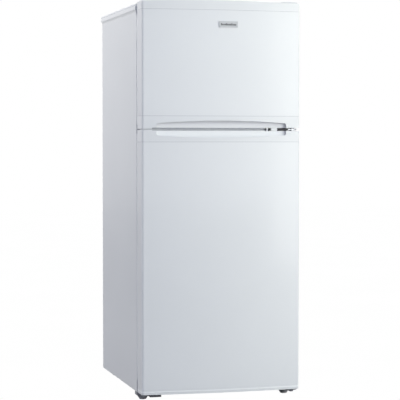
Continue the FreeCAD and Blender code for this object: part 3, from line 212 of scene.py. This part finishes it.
def skin_rings(made, rings, closed=False):
    """Join rings of vertices with quads and close the two ends, or join the last to the first."""
    count = len(rings[0])
    pairs = list(zip(rings, rings[1:])) + ([(rings[-1], rings[0])] if closed else [])
    for near, far in pairs:
        for i in range(count):
            j = (i + 1) % count
            made.faces.new((near[i], near[j], far[j], far[i]))
    if not closed:
        made.faces.new(rings[0][::-1])
        made.faces.new(rings[-1])


def frame_for(direction):
    """Two directions square to the one given."""
    along = Vector(direction).normalized()
    if abs(along.z) > 0.9:
        side = along.orthogonal().normalized()
    else:
        side = along.cross(Vector((0, 0, 1))).normalized()
    return side, along.cross(side)


def lathe(made, profile, centre, direction=(0, 0, 1), steps=40, ripple=None):
    """Turn (radius, height) points; ripple(height) gives the teeth's depth and number."""
    side, up = frame_for(direction)
    along = Vector(direction)
    rings = []
    for radius, height in profile:
        ring = []
        for i in range(steps):
            angle = math.tau * i / steps
            depth, teeth = ripple(height) if ripple else (0, 0)
            reach = max(radius, 0.02) - depth * (0.5 - 0.5 * math.cos(teeth * angle))
            ring.append(made.verts.new(Vector(centre) + along * height
                                       + (side * math.cos(angle) + up * math.sin(angle)) * reach))
        rings.append(ring)
    skin_rings(made, rings)


def bends(stops, radius, steps=6):
    """Points of a polyline with its corners rounded."""
    stops = [Vector(stop) for stop in stops]
    points = [stops[0]]
    for before, corner, after in zip(stops, stops[1:], stops[2:]):
        first, last = (before - corner).normalized(), (after - corner).normalized()
        for i in range(steps + 1):
            t = i / steps
            start, end = corner + first * radius, corner + last * radius
            points.append(start * (1 - t) ** 2 + corner * 2 * t * (1 - t) + end * t ** 2)
    return points + [stops[-1]]


def sweep(made, points, radius, steps=10, closed=False):
    """Round bar along points."""
    points = [Vector(point) for point in points]
    rings, side = [], None
    count = len(points)
    for i, spot in enumerate(points):
        before = points[i - 1] if closed or i else spot
        after = points[(i + 1) % count] if closed or i < count - 1 else spot
        along = (after - before).normalized()
        side = frame_for(along)[0] if side is None else (side - along * side.dot(along)).normalized()
        up = along.cross(side)
        rings.append([made.verts.new(spot + (side * math.cos(a) + up * math.sin(a)) * radius)
                      for a in (math.tau * k / steps for k in range(steps))])
    skin_rings(made, rings, closed)


def loop(x, y, z, radius, steps=6):
    """Points round a rectangle with round corners at height z."""
    points = []
    corners = ((x[1], y[0], -90), (x[1], y[1], 0), (x[0], y[1], 90), (x[0], y[0], 180))
    for corner_x, corner_y, start in corners:
        middle = (corner_x - math.copysign(radius, corner_x - sum(x) / 2),
                  corner_y - math.copysign(radius, corner_y - sum(y) / 2))
        for i in range(steps + 1):
            angle = math.radians(start + 90 * i / steps)
            points.append((middle[0] + radius * math.cos(angle), middle[1] + radius * math.sin(angle), z))
    return points


# ---------------------------------------------------------------- doors

DOOR_BACK, DOOR_EDGE, DOOR_FRONT, HALF = -238.0, -294.0, -306.0, 237.0
SPLIT = 787.3
BOW = (230 ** 2 + 12 ** 2) / 24


def door_plan(inset):
    """Points of the bowed door's plan from its rear left edge to its rear right edge."""
    right = [(HALF - inset, DOOR_BACK)]
    for i in range(9):
        angle = math.radians(90 * i / 8)
        right.append((230 + (7 - inset) * math.cos(angle), -287 - (7 - inset) * math.sin(angle)))
    front = []
    for i in range(1, 40):
        x = 230 - 460 * i / 40
        front.append((x, DOOR_FRONT + inset + BOW - math.sqrt(BOW ** 2 - x ** 2)))
    return right + front + [(-x, y) for x, y in reversed(right)]


def belt(made, section):
    """Strip round a door's sides and front; section lists (inset, height)."""
    plans = [(door_plan(inset), z) for inset, z in section]
    skin_rings(made, [[made.verts.new((*plan[i], z)) for plan, z in plans] for i in range(len(plans[0][0]))])


def seam_strips(name, levels, body, material=SEAM):
    """Grey filler in the joints between a door's steel wrapper and its caps; the joints are real, their grey
    is painted joint shadow.
    """
    made = bmesh.new()
    for level in levels:
        belt(made, [(0.55, level - 0.9), (0.55, level + 0.9), (1.6, level + 0.9), (1.6, level - 0.9)])
    piece(name, made, "gasket_rubber", body, smooth=60, material=material)


def cap_bead():
    """Bead round the foot of the lower door's bottom cap, its plastic painted brighter than the cap as a
    highlight on the rounded lip.
    """
    made = bmesh.new()
    belt(made, [(0.1, 29.6), (-0.45, 30.6), (-0.45, 32.4), (0.1, 34.0), (1.2, 34.0), (1.2, 29.6)])
    piece("fridge_door_cap_bead", made, "cap_plastic", "fridge_door", smooth=60, material=BEAD_HIGHLIGHT)


def gasket(name, z, body, node):
    """Soft seal with a magnet pocket, nearly flush on the free side and set in on the hinge side."""
    made = bmesh.new()
    back, tip = DOOR_BACK, -226.35
    section = [(0.3, back), (10.5, back), (10.5, back + 1.2), (7.2, back + 2.2), (7.0, back + 3.2),
               (10.8, back + 4.2), (11.6, back + 5.4), (8.6, back + 6.4), (8.8, back + 7.2),
               (11.8, back + 8.2), (12.0, tip - 0.8), (11.2, tip), (0.8, tip), (0.0, tip - 0.8),
               (0.0, back + 8.2), (0.9, back + 7.2), (0.9, back + 6.4), (0.0, back + 5.4),
               (0.0, back + 4.2), (1.0, back + 3.2), (0.9, back + 2.2), (0.3, back + 1.2)]
    rings = []
    for side, low in ((-1, True), (1, True), (1, False), (-1, False)):
        reach = HALF - 1.2 if side < 0 else HALF - 16
        rings.append([made.verts.new((side * (reach - inset), y, z[0] + inset if low else z[1] - inset))
                      for inset, y in section])
    skin_rings(made, rings, closed=True)
    piece(name, made, "gasket_rubber", body, (node,), smooth=25)


def gap_strips():
    """Grey strips that narrow the slit between the doors, painted as the slit's shade, darker on the freezer
    side and paler on the fridge side, with paler ends beside the grip.
    """
    for label, side in (("freezer", 1), ("fridge", -1)):
        made = bmesh.new()
        low, high = sorted((SPLIT + side * 0.3, SPLIT + side * 4.45))
        box(made, (-206.5, -285.2, low), (129.5, -278.6, high))
        for i in range(16):
            x = -196 + i * 21
            box(made, (x, -285.6, low + 0.8), (x + 14, -284.8, high - 0.8))
        piece(f"{label}_gap_strip", made, "silver_plastic", f"{label}_door", edge=0.3, material=GAP_SHADE_STRIPS[side])
        # Paler tabs at the slit's left end: painted lighter shade of the narrower slit there.
        made = bmesh.new()
        low, high = sorted((SPLIT + side * 0.3, SPLIT + side * 1.35))
        box(made, (-235.5, -291.5, low), (-207.0, -279.0, high))
        for i in range(3):
            box(made, (-234 + i * 9, -291.8, low + 0.2), (-228 + i * 9, -291.2, high - 0.2))
        piece(f"{label}_gap_tab", made, "silver_plastic", f"{label}_door", edge=0.2, material=PALE_JOINT_SHADE)


def bin_rims(name, bins, body):
    """Rounded rim round the top of each door bin, and a stiffening line along its front."""
    made = bmesh.new()
    for x, y, low, high in bins:
        sweep(made, loop((-x + 0.9, x - 0.9), (y[0] + 0.9, y[1] - 0.9), high, 13), 1.9, 8, closed=True)
        for level in (low + 14, high - 12):
            sweep(made, [(-x + 24, y[1] + 0.2, level), (x - 24, y[1] + 0.2, level)], 1.3, 8)
        for i in range(-4, 5):
            sweep(made, [(i * 34, y[1], low + 20), (i * 34, y[1], high - 18)], 0.9, 6)
    piece(name, made, "bin_plastic", body)


def bin_lugs(name, levels, body):
    """Moulded supports under the ends of the door bins."""
    made = bmesh.new()
    for level in levels:
        for side in (-1, 1):
            x = sorted((side * 140, side * 165))
            box(made, (x[0], DOOR_BACK - 0.5, level - 9), (x[1], DOOR_BACK + 16, level - 0.4))
            box(made, (x[0] + 4, DOOR_BACK - 0.5, level - 18), (x[1] - 4, DOOR_BACK + 8, level - 8.5))
    piece(name, made, "liner_plastic", body, edge=2.0)


def badge():
    """Name plate without a name: a raised rim, a finely ruled field and a row of plain marks."""
    made = bmesh.new()
    front = -308.2
    for low, high in (((-11.5, front, 1080.5), (44.5, front + 1.2, 1082.0)),
                      ((-11.5, front, 1096.5), (44.5, front + 1.2, 1098.0)),
                      ((-11.5, front, 1080.5), (-10.0, front + 1.2, 1098.0)),
                      ((43.0, front, 1080.5), (44.5, front + 1.2, 1098.0))):
        box(made, low, high)
    for i in range(9):
        level = 1083.4 + i * 1.5
        box(made, (-9.5, front + 0.75, level), (42.5, front + 1.3, level + 0.7))
    piece("badge_rim", made, "silver_plastic", "freezer_door", edge=0.25, material=BADGE)
    made = bmesh.new()
    for i in range(12):
        tall = 6.6 if i % 4 == 0 else 4.8
        x = -6.4 + i * 3.9
        box(made, (x, front + 0.2, 1085.6), (x + 3.0, front + 1.0, 1085.6 + tall))
    piece("badge_marks", made, "foot_plastic", "freezer_door", edge=0.3, material=BADGE_MARK)


def doors():
    # Real joints whose grey filler is painted joint shadow; the bottom joint gets the paler painted shade.
    seam_strips("freezer_door_seams", (SPLIT + 38, 1130.5), "freezer_door")
    seam_strips("fridge_door_seams", (SPLIT - 36,), "fridge_door")
    seam_strips("fridge_door_low_seam", (38.0,), "fridge_door", PALE_JOINT_SHADE)
    cap_bead()
    gasket("freezer_gasket", (800.3, 1117.0), "freezer_door", "freezer_door_gasket")
    gasket("fridge_gasket", (58.0, 774.3), "fridge_door", "fridge_door_gasket")
    bin_rims("freezer_bin_rim", [(164, (-237.8, -170), 856, 936)], "freezer_door")
    depth = (-237.8, -146)
    bin_rims("fridge_bin_rims", [(164, depth, 584, 658), (164, depth, 394, 468), (164, depth, 113, 213)],
             "fridge_door")
    bin_lugs("freezer_bin_lugs", (856,), "freezer_door")
    bin_lugs("fridge_bin_lugs", (584, 394, 113), "fridge_door")
    badge()
    gap_strips()


# ---------------------------------------------------------------- hinges, screws, feet

def screw_head(made, place, outward):
    """Domed head with a cross recess."""
    side, up = frame_for(outward)
    along, middle = Vector(outward), Vector(place)
    steps, rings = 48, []
    for radius, height in ((0.03, 2.55), (0.5, 2.55), (0.9, 2.5), (1.3, 2.45), (1.8, 2.35), (2.2, 2.2),
                           (2.6, 2.05), (3.4, 1.6), (4.1, 0.9), (4.4, 0.3), (4.4, 0.0)):
        ring = []
        for i in range(steps):
            angle = math.tau * i / steps
            u, v = radius * math.cos(angle), radius * math.sin(angle)
            deep = 1.3 if radius < 2.3 and min(abs(u), abs(v)) < 0.5 else 0.0
            ring.append(made.verts.new(middle + side * u + up * v + along * (height - deep)))
        rings.append(ring)
    skin_rings(made, rings)


def screws():
    made = bmesh.new()
    for x in (-176, 176):
        for z in (270, 990):
            screw_head(made, (x, 277.5, z), (0, 1, 0))
    for x, y in ((203, -212), (223, -192)):
        screw_head(made, (x, y, 1157.3), (0, 0, 1))
    for x in (146, 176):
        screw_head(made, (x, -228, SPLIT + 6), (0, -1, 0))
    for x in (165, 195):
        screw_head(made, (x, -228, 42), (0, -1, 0))
    piece("screw_heads", made, "hinge_steel", "cabinet", ("cabinet_screws",))


def hinge_details():
    """Plastic spacers on the middle arm and washers round the hinge pins."""
    made = bmesh.new()
    for x0, x1 in ((137.5, 142.5), (152, 171)):
        box(made, (x0, -282, SPLIT - 4.1), (x1, -240, SPLIT - 1.2))
        box(made, (x0, -282, SPLIT + 1.2), (x1, -240, SPLIT + 4.1))
        box(made, (x0, -286, SPLIT - 4.1), (x1, -280, SPLIT + 4.1))
    piece("hinge_spacers", made, "white_plastic", "cabinet", edge=0.7)
    # Black block filling the hinge gap: painted shade, standing for the dark of the open gap beside the arm.
    made = bmesh.new()
    for low, high in ((-4.0, -1.3), (1.3, 4.0)):
        box(made, (174, -283, SPLIT + low), (199, -246, SPLIT + high))
    box(made, (174, -285.5, SPLIT - 4.0), (199, -281, SPLIT + 4.0))
    piece("hinge_shade_block", made, "black_plastic", "cabinet", edge=0.6)
    made = bmesh.new()
    for level in (SPLIT - 4.3, SPLIT + 3.3, 19.8):
        lathe(made, [(4.2, 0), (9.0, 0), (9.4, 0.3), (9.4, 0.7), (9.0, 1.0), (4.2, 1.0)], (222, -263, level))
    lathe(made, [(0, -1.2), (4.2, -1.2), (5.4, -0.6), (5.4, 0.1), (0, 0.1)], (222, -263, 13.2), steps=6)
    piece("pin_washers", made, "hinge_steel", "cabinet")
    made = bmesh.new()
    box(made, (186, -279.0, 1157.2), (234, -226, 1158.4))
    box(made, (192, -274.0, 1158.3), (230, -231, 1159.5))
    piece("top_hinge_cap", made, "white_plastic", "cabinet", edge=0.9)


def feet():
    """Knurled levelling feet with threaded stems, and ribbed rear rollers."""
    def teeth(height):
        return (0.9, 20) if 8.5 < height < 12.2 else (0, 0)

    for name, side in (("left", -1), ("right", 1)):
        made = bmesh.new()
        centre = (side * 216, -211, 0)
        lathe(made, [(0, 0), (9.2, 0), (10.2, 0.7), (11.4, 3), (15.4, 8.9), (16, 9.6), (16, 11.5), (15.4, 12),
                     (0, 12)], centre, steps=120, ripple=teeth)
        thread = [(0, 11.8)]
        for i in range(24):
            thread += [(3.3, 12 + i * 1.25), (3.95, 12.6 + i * 1.25)]
        lathe(made, thread + [(0, 43)], centre, steps=20)
        piece(f"foot_{name}", made, "foot_plastic", f"front_foot_{name}", (f"front_foot_{name}",), smooth=28)
        made = bmesh.new()
        profile = [(0, -10), (3, -10), (3, -7), (4.2, -7), (4.6, -5.2), (7.6, -5.2), (8.2, -7), (9, -7),
                   (10, -5.6), (10, -1.2), (9.4, -0.7), (9.4, 0.7), (10, 1.2), (10, 5.6), (9, 7), (8.2, 7),
                   (7.6, 5.2), (4.6, 5.2), (4.2, 7), (3, 7), (3, 10), (0, 10)]
        lathe(made, profile, (side * 200, 250, 10), (1, 0, 0), steps=48)
        for i in range(6):
            angle = math.tau * i / 6
            reach = Vector((0, math.cos(angle), math.sin(angle)))
            for face in (-6.2, 6.2):
                spots = [Vector((side * 200 + face, 250, 10)) + reach * r for r in (4.2, 8.0)]
                sweep(made, spots, 0.8, 8)
        piece(f"roller_{name}", made, "foot_plastic", f"rear_roller_{name}", (f"rear_roller_{name}",))


# ---------------------------------------------------------------- cabinet outside

def lid_details():
    """Fine joint line round the lip of the lid, its grey painted as the joint's shadow, and the fillets under
    its side lips.
    """
    made, lips = bmesh.new(), bmesh.new()
    level = 1144.8
    for side in (-1, 1):
        x = sorted((side * 239.6, side * 240.12))
        box(made, (x[0], -224, level - 0.35), (x[1], 279, level + 0.35))
        skin_rings(lips, [[lips.verts.new((side * x, y, z)) for x, z in
                           ((236.9, 1127.4), (237.2, 1127.4), (239.6, 1133.2), (236.9, 1133.2))]
                          for y in (-224, 275)])
    box(made, (-231, 287.6, level - 0.35), (231, 288.1, level + 0.35))
    piece("lid_joint_line", made, "gasket_rubber", "cabinet", smooth=60, material=SEAM)
    piece("lid_lip_fillet", lips, "white_plastic", "cabinet", edge=0.5)


def back_details():
    """Pressed ribs, a blank data plate and edge clips on the rear panel."""
    made = bmesh.new()
    for z in range(1080, 1116, 14):
        sweep(made, bends([(-190, 275.2, z), (-184, 277.0, z), (184, 277.0, z), (190, 275.2, z)], 4), 2.2, 8)
    for x in (-208, 208):
        sweep(made, bends([(x, 275.2, 232), (x, 277.0, 240), (x, 277.0, 1100), (x, 275.2, 1108)], 5), 2.2, 8)
    piece("back_ribs", made, "galvanised_steel", "cabinet")
    made = bmesh.new()
    box(made, (70, 276.0, 1010), (150, 276.5, 1058))
    for i in range(6):
        box(made, (76, 276.4, 1018 + i * 6), (144 - 9 * (i % 3), 276.65, 1019.2 + i * 6))
    piece("data_plate_blank", made, "aluminium", "cabinet", edge=0.15)
    made = bmesh.new()
    for z in range(150, 1110, 120):
        for side in (-1, 1):
            x = sorted((side * 222, side * 232))
            box(made, (x[0], 275.8, z), (x[1], 277.4, z + 12))
            lathe(made, [(0, 0), (2.6, 0), (2.6, 1.0), (1.4, 1.6), (0, 1.7)], (side * 229.5, 276.8, z + 6),
                  (0, 1, 0), steps=20)
    piece("panel_clips", made, "galvanised_steel", "cabinet", edge=0.5)


def compressor_details():
    """Weld bead, tube stubs, mounting studs, spring clip and a blank sticker."""
    made = bmesh.new()
    for level in (91.8, 96.2):
        sweep(made, loop((-16, 136), (134, 246), level, 51), 1.5, 8, closed=True)
    for x, y in ((-9, 150), (-9, 230), (129, 150)):
        sweep(made, bends([(x + 14, y, 104), (x - 6, y, 104), (x - 6, y, 124)], 6), 3.0, 10)
    for x in (-8, 128):
        for y in (140, 240):
            lathe(made, [(0, 0), (3, 0), (3, 5), (0, 6)], (x, y, 47.5), steps=16)
            lathe(made, [(0, 0), (7, 0), (7, 1), (0, 1)], (x, y, 47.9), steps=24)
            lathe(made, [(0, 0), (5.4, 0), (5.4, 3.6), (0, 3.6)], (x, y, 48.6), steps=6)
    piece("compressor_fittings", made, "black_paint", "cabinet")
    made = bmesh.new()
    clip = [(-15, 174, 84), (-50, 174, 92), (-54, 176, 78), (-54, 204, 78), (-50, 206, 92), (-15, 206, 84)]
    sweep(made, bends(clip, 3), 1.1, 8)
    piece("relay_spring_clip", made, "hinge_steel", "cabinet")
    made = bmesh.new()
    box(made, (30, 244.8, 66), (92, 245.4, 86))
    for i in range(3):
        box(made, (34, 245.3, 70 + i * 5), (84 - i * 12, 245.55, 71.2 + i * 5))
    piece("compressor_sticker_blank", made, "aluminium", "cabinet", edge=0.1)


# ---------------------------------------------------------------- inside

def freezer_channels():
    """Raised refrigerant channels of the folded roll-bond plate."""
    made = bmesh.new()
    back, low, high = 224.4, 814.6, 1086.4
    rows = []
    for i in range(8):
        z = 842 + i * 31
        ends = (-160, 160) if i % 2 == 0 else (160, -160)
        rows += [(x, back, z) for x in ends]
    sweep(made, bends(rows, 12), 2.3, 8)
    for level in (low, high):
        rows = []
        for i in range(9):
            y = -165 + i * 44
            ends = (-160, 160) if i % 2 == 0 else (160, -160)
            rows += [(x, y, level) for x in ends]
        sweep(made, bends(rows, 14), 2.3, 8)
    piece("freezer_channels", made, "aluminium", "cabinet")


def gutter():
    """Defrost gutter under the cold plate, leading to the drain."""
    made = bmesh.new()
    for side in (-1, 1):
        outer = side * 168
        spots = [(outer, 222, 462), (100, 222, 447)] if side < 0 else [(100, 222, 447), (outer, 222, 456)]
        sweep(made, spots, 3.0, 10)
        sweep(made, [(x, 229.5, z + 1) for x, _, z in spots], 3.0, 10)
    lathe(made, [(8, 0), (11, 0), (13, 8), (11.5, 8), (9.5, 1.5), (8, 1.5)], (100, 226, 441), steps=32)
    piece("defrost_gutter", made, "liner_plastic", "cabinet")


def liner_details():
    """Vertical ribs on the side walls and the shelf stops at the back of the lower compartment."""
    made = bmesh.new()
    for side in (-1, 1):
        for z0, z1 in ((262, 386), (408, 546), (568, 735)):
            for y in (-90, -30, 30, 90, 150):
                sweep(made, [(side * 197.2, y, z0), (side * 197.2, y, z1)], 1.4, 8)
    for z in (394, 554):
        for x in (-120, 0, 120):
            box(made, (x - 9, 215 if z == 554 else 225, z - 5), (x + 9, 231.4, z - 0.3))
    piece("fridge_liner_ribs", made, "liner_plastic", "cabinet", edge=0.6)
    made = bmesh.new()
    for side in (-1, 1):
        for z in (838, 1000):
            sweep(made, [(side * 197.2, -172, z), (side * 197.2, 200, z)], 1.4, 8)
    piece("freezer_liner_ribs", made, "liner_plastic", "cabinet")


def shelf_edges():
    """Ridges on the shelf trims."""
    made = bmesh.new()
    for level in (554, 394, 246):
        for z in (level - 1.2, level + 5.2):
            sweep(made, [(-192, -131.0, z), (192, -131.0, z)], 0.8, 8)
        sweep(made, [(-192, -130.8, level + 2), (192, -130.8, level + 2)], 1.4, 8)
    piece("shelf_trim_ridges", made, "liner_plastic", "cabinet")


def crisper_details():
    """Rim, feet ribs and grip lines of the drawer."""
    made = bmesh.new()
    sweep(made, loop((-181, 181), (-119, 57), 231, 9), 2.0, 8, closed=True)
    for i in range(-8, 9):
        sweep(made, [(i * 20, -120.2, 96), (i * 20, -120.2, 196)], 0.8, 6)
    for z in (211, 215, 219):
        sweep(made, [(-112, -122.2, z), (112, -122.2, z)], 0.9, 6)
    piece("crisper_rim", made, "drawer_plastic", "crisper_drawer")


def thermostat_details():
    """Finger ribs and a pointer on the knob, and a scale of growing marks round it."""
    made = bmesh.new()
    for i in range(20):
        angle = math.tau * i / 20
        reach = Vector((math.cos(angle), 0, math.sin(angle)))
        start, end = Vector((160, -98.5, 740)) + reach * 16.4, Vector((160, -107, 740)) + reach * 14.2
        sweep(made, [start, end], 0.8, 6)
    box(made, (159.3, -112.6, 741), (160.7, -111.6, 752.5))
    piece("knob_ribs", made, "knob_plastic", "thermostat_knob")
    made = bmesh.new()
    for i in range(7):
        angle = math.radians(225 - i * 45)
        reach = Vector((math.cos(angle), 0, math.sin(angle)))
        mark = Vector((160, -95.0, 740)) + reach * 19.5
        dot = 0.16 * i
        lathe(made, [(0, 0), (0.6 + dot, 0), (0.5 + dot, 0.35), (0, 0.4)], mark, (0, -1, 0), steps=16)
    piece("thermostat_scale", made, "black_plastic", "cabinet")
    made = bmesh.new()
    socket = [(0, 0), (8.2, 0), (8.2, 2), (9.6, 3), (9.6, 19), (8.4, 21), (7.3, 21), (7.3, 22.5), (0, 22.5)]
    lathe(made, socket, (103, -36, 741), (0, 1, 0), steps=36)
    piece("lamp_holder", made, "white_plastic", "cabinet")


def soften_caps():
    """Moulded edges of the outer door caps."""
    for name, width in (("fridge_door_bottom_cap", 2.2), ("freezer_door_top_cap", 1.8)):
        round_over = NODES[name].modifiers.new("moulded_edge", "BEVEL")
        round_over.width, round_over.segments = width * MM, 3
        round_over.limit_method, round_over.angle_limit = "ANGLE", math.radians(50)


doors()
screws()
hinge_details()
feet()
lid_details()
back_details()
compressor_details()
freezer_channels()
gutter()
liner_details()
shelf_edges()
crisper_details()
thermostat_details()
soften_caps()


# ---------------------------------------------------------------- stage, camera and light

def plate(name, size, z, material):
    """Large square sheet of the stage; size is half its side."""
    mesh = bpy.data.meshes.new(name)
    made = bmesh.new()
    corners = [made.verts.new((x * size, y * size, z)) for x, y in ((-1, -1), (1, -1), (1, 1), (-1, 1))]
    made.faces.new(corners)
    made.to_mesh(mesh)
    made.free()
    mesh.materials.append(material)
    thing = bpy.data.objects.new(name, mesh)
    bpy.context.scene.collection.objects.link(thing)
    return thing


def floor_material():
    """White to the camera; a dull grey to everything that it lights."""
    made, nodes, links, shader = new_material("pale_floor")
    cloud = noise(nodes, links, 2.0, 2.0)
    links.new(ramp(nodes, links, cloud, (0.20, 0.20, 0.21), (0.24, 0.24, 0.25)), shader.inputs["Base Color"])
    shader.inputs["Roughness"].default_value = 0.8
    glow, path, mix = (nodes.new("ShaderNodeEmission"), nodes.new("ShaderNodeLightPath"),
                       nodes.new("ShaderNodeMixShader"))
    links.new(ramp(nodes, links, cloud, (0.995, 0.995, 0.995), (1, 1, 1)), glow.inputs["Color"])
    links.new(path.outputs["Is Camera Ray"], mix.inputs[0])
    links.new(shader.outputs[0], mix.inputs[1])
    links.new(glow.outputs[0], mix.inputs[2])
    links.new(mix.outputs[0], nodes["Material Output"].inputs["Surface"])
    return made


def area_light(name, place, aim, size, power, color):
    lamp = bpy.data.lights.new(name, "AREA")
    lamp.shape = "RECTANGLE"
    lamp.size, lamp.size_y = size
    lamp.energy = power
    lamp.color = color
    thing = bpy.data.objects.new(name, lamp)
    thing.location = place
    thing.rotation_euler = (Vector(aim) - Vector(place)).to_track_quat("-Z", "Y").to_euler()
    bpy.context.scene.collection.objects.link(thing)


LAMPS = (
    # name, place, aim, size, power, colour
    ("key_right", (2.6, -2.2, 2.3), (0, -0.2, 0.7), (1.6, 1.8), 41.5, (0.95, 1.0, 0.70)),
    ("left_high", (-2.2, 0.7, 2.2), (-0.24, 0.0, 0.9), (1.4, 1.4), 61.9, (1.0, 0.991, 0.93)),
    ("front_soft", (0.4, -3.4, 1.5), (0.1, -0.3, 0.9), (2.4, 2.2), 26.5, (0.998, 0.981, 1.0)),
    ("front_right", (1.6, -2.0, 1.0), (0.1, -0.3, 0.8), (1.2, 1.6), 22.3, (1.0, 0.987, 0.946)),
)
GLOWS = (
    # direction, sharpness, colour
    ((0, 0, 1), 0, (0.258, 0.266, 0.273)),
    ((0, 0, 1), 2, (0.0, 0.032, 0.20)),
    ((0.8, -0.5, 0.2), 3, (0.04, 0.12, 0.19)),
)


def sky(nodes, links):
    """Light of the room: soft lobes about a direction each, added up."""
    place = nodes.new("ShaderNodeTexCoord")
    total = None
    for aim, sharpness, color in GLOWS:
        facing, lobe, power, part = (nodes.new("ShaderNodeVectorMath"), nodes.new("ShaderNodeMath"),
                                     nodes.new("ShaderNodeMath"), nodes.new("ShaderNodeVectorMath"))
        facing.operation, lobe.operation, power.operation = "DOT_PRODUCT", "MULTIPLY_ADD", "POWER"
        facing.inputs[1].default_value = Vector(aim).normalized()
        lobe.inputs[1].default_value = lobe.inputs[2].default_value = 0.5
        power.inputs[1].default_value = sharpness
        part.operation = "SCALE"
        part.inputs[0].default_value = color
        links.new(place.outputs["Generated"], facing.inputs[0])
        links.new(facing.outputs["Value"], lobe.inputs[0])
        links.new(lobe.outputs[0], power.inputs[0])
        links.new(power.outputs[0], part.inputs["Scale"])
        if total:
            both = nodes.new("ShaderNodeVectorMath")
            links.new(total, both.inputs[0])
            links.new(part.outputs[0], both.inputs[1])
            part = both
        total = part.outputs[0]
    return total


def studio():
    plate("studio_floor", 12.0, 0.0, floor_material())
    world = bpy.data.worlds.new("studio")
    world.use_nodes = True
    bpy.context.scene.world = world
    nodes, links = world.node_tree.nodes, world.node_tree.links
    nodes.clear()
    shown, fill, mix = (nodes.new("ShaderNodeBackground"), nodes.new("ShaderNodeBackground"),
                        nodes.new("ShaderNodeMixShader"))
    shown.inputs["Color"].default_value = (1, 1, 1, 1)
    links.new(sky(nodes, links), fill.inputs["Color"])
    path, out = nodes.new("ShaderNodeLightPath"), nodes.new("ShaderNodeOutputWorld")
    links.new(path.outputs["Is Camera Ray"], mix.inputs[0])
    links.new(fill.outputs[0], mix.inputs[1])
    links.new(shown.outputs[0], mix.inputs[2])
    links.new(mix.outputs[0], out.inputs["Surface"])
    for name, place, aim, size, power, color in LAMPS:
        area_light(name, place, aim, size, power, color)


def camera():
    """The viewpoint: a long lens a little left of the doors, just above the grip's height."""
    lens = bpy.data.cameras.new("camera")
    lens.sensor_width = 36.0
    lens.lens = 139.1
    thing = bpy.data.objects.new("camera", lens)
    thing.location = (-1.206, -4.601, 0.757)
    pitch, yaw = math.radians(2.23), math.radians(14.84)
    thing.rotation_euler = (math.pi / 2 - pitch, 0, -yaw)
    bpy.context.scene.collection.objects.link(thing)
    bpy.context.scene.camera = thing


studio()
camera()
bpy.context.scene.view_settings.view_transform = "Standard"
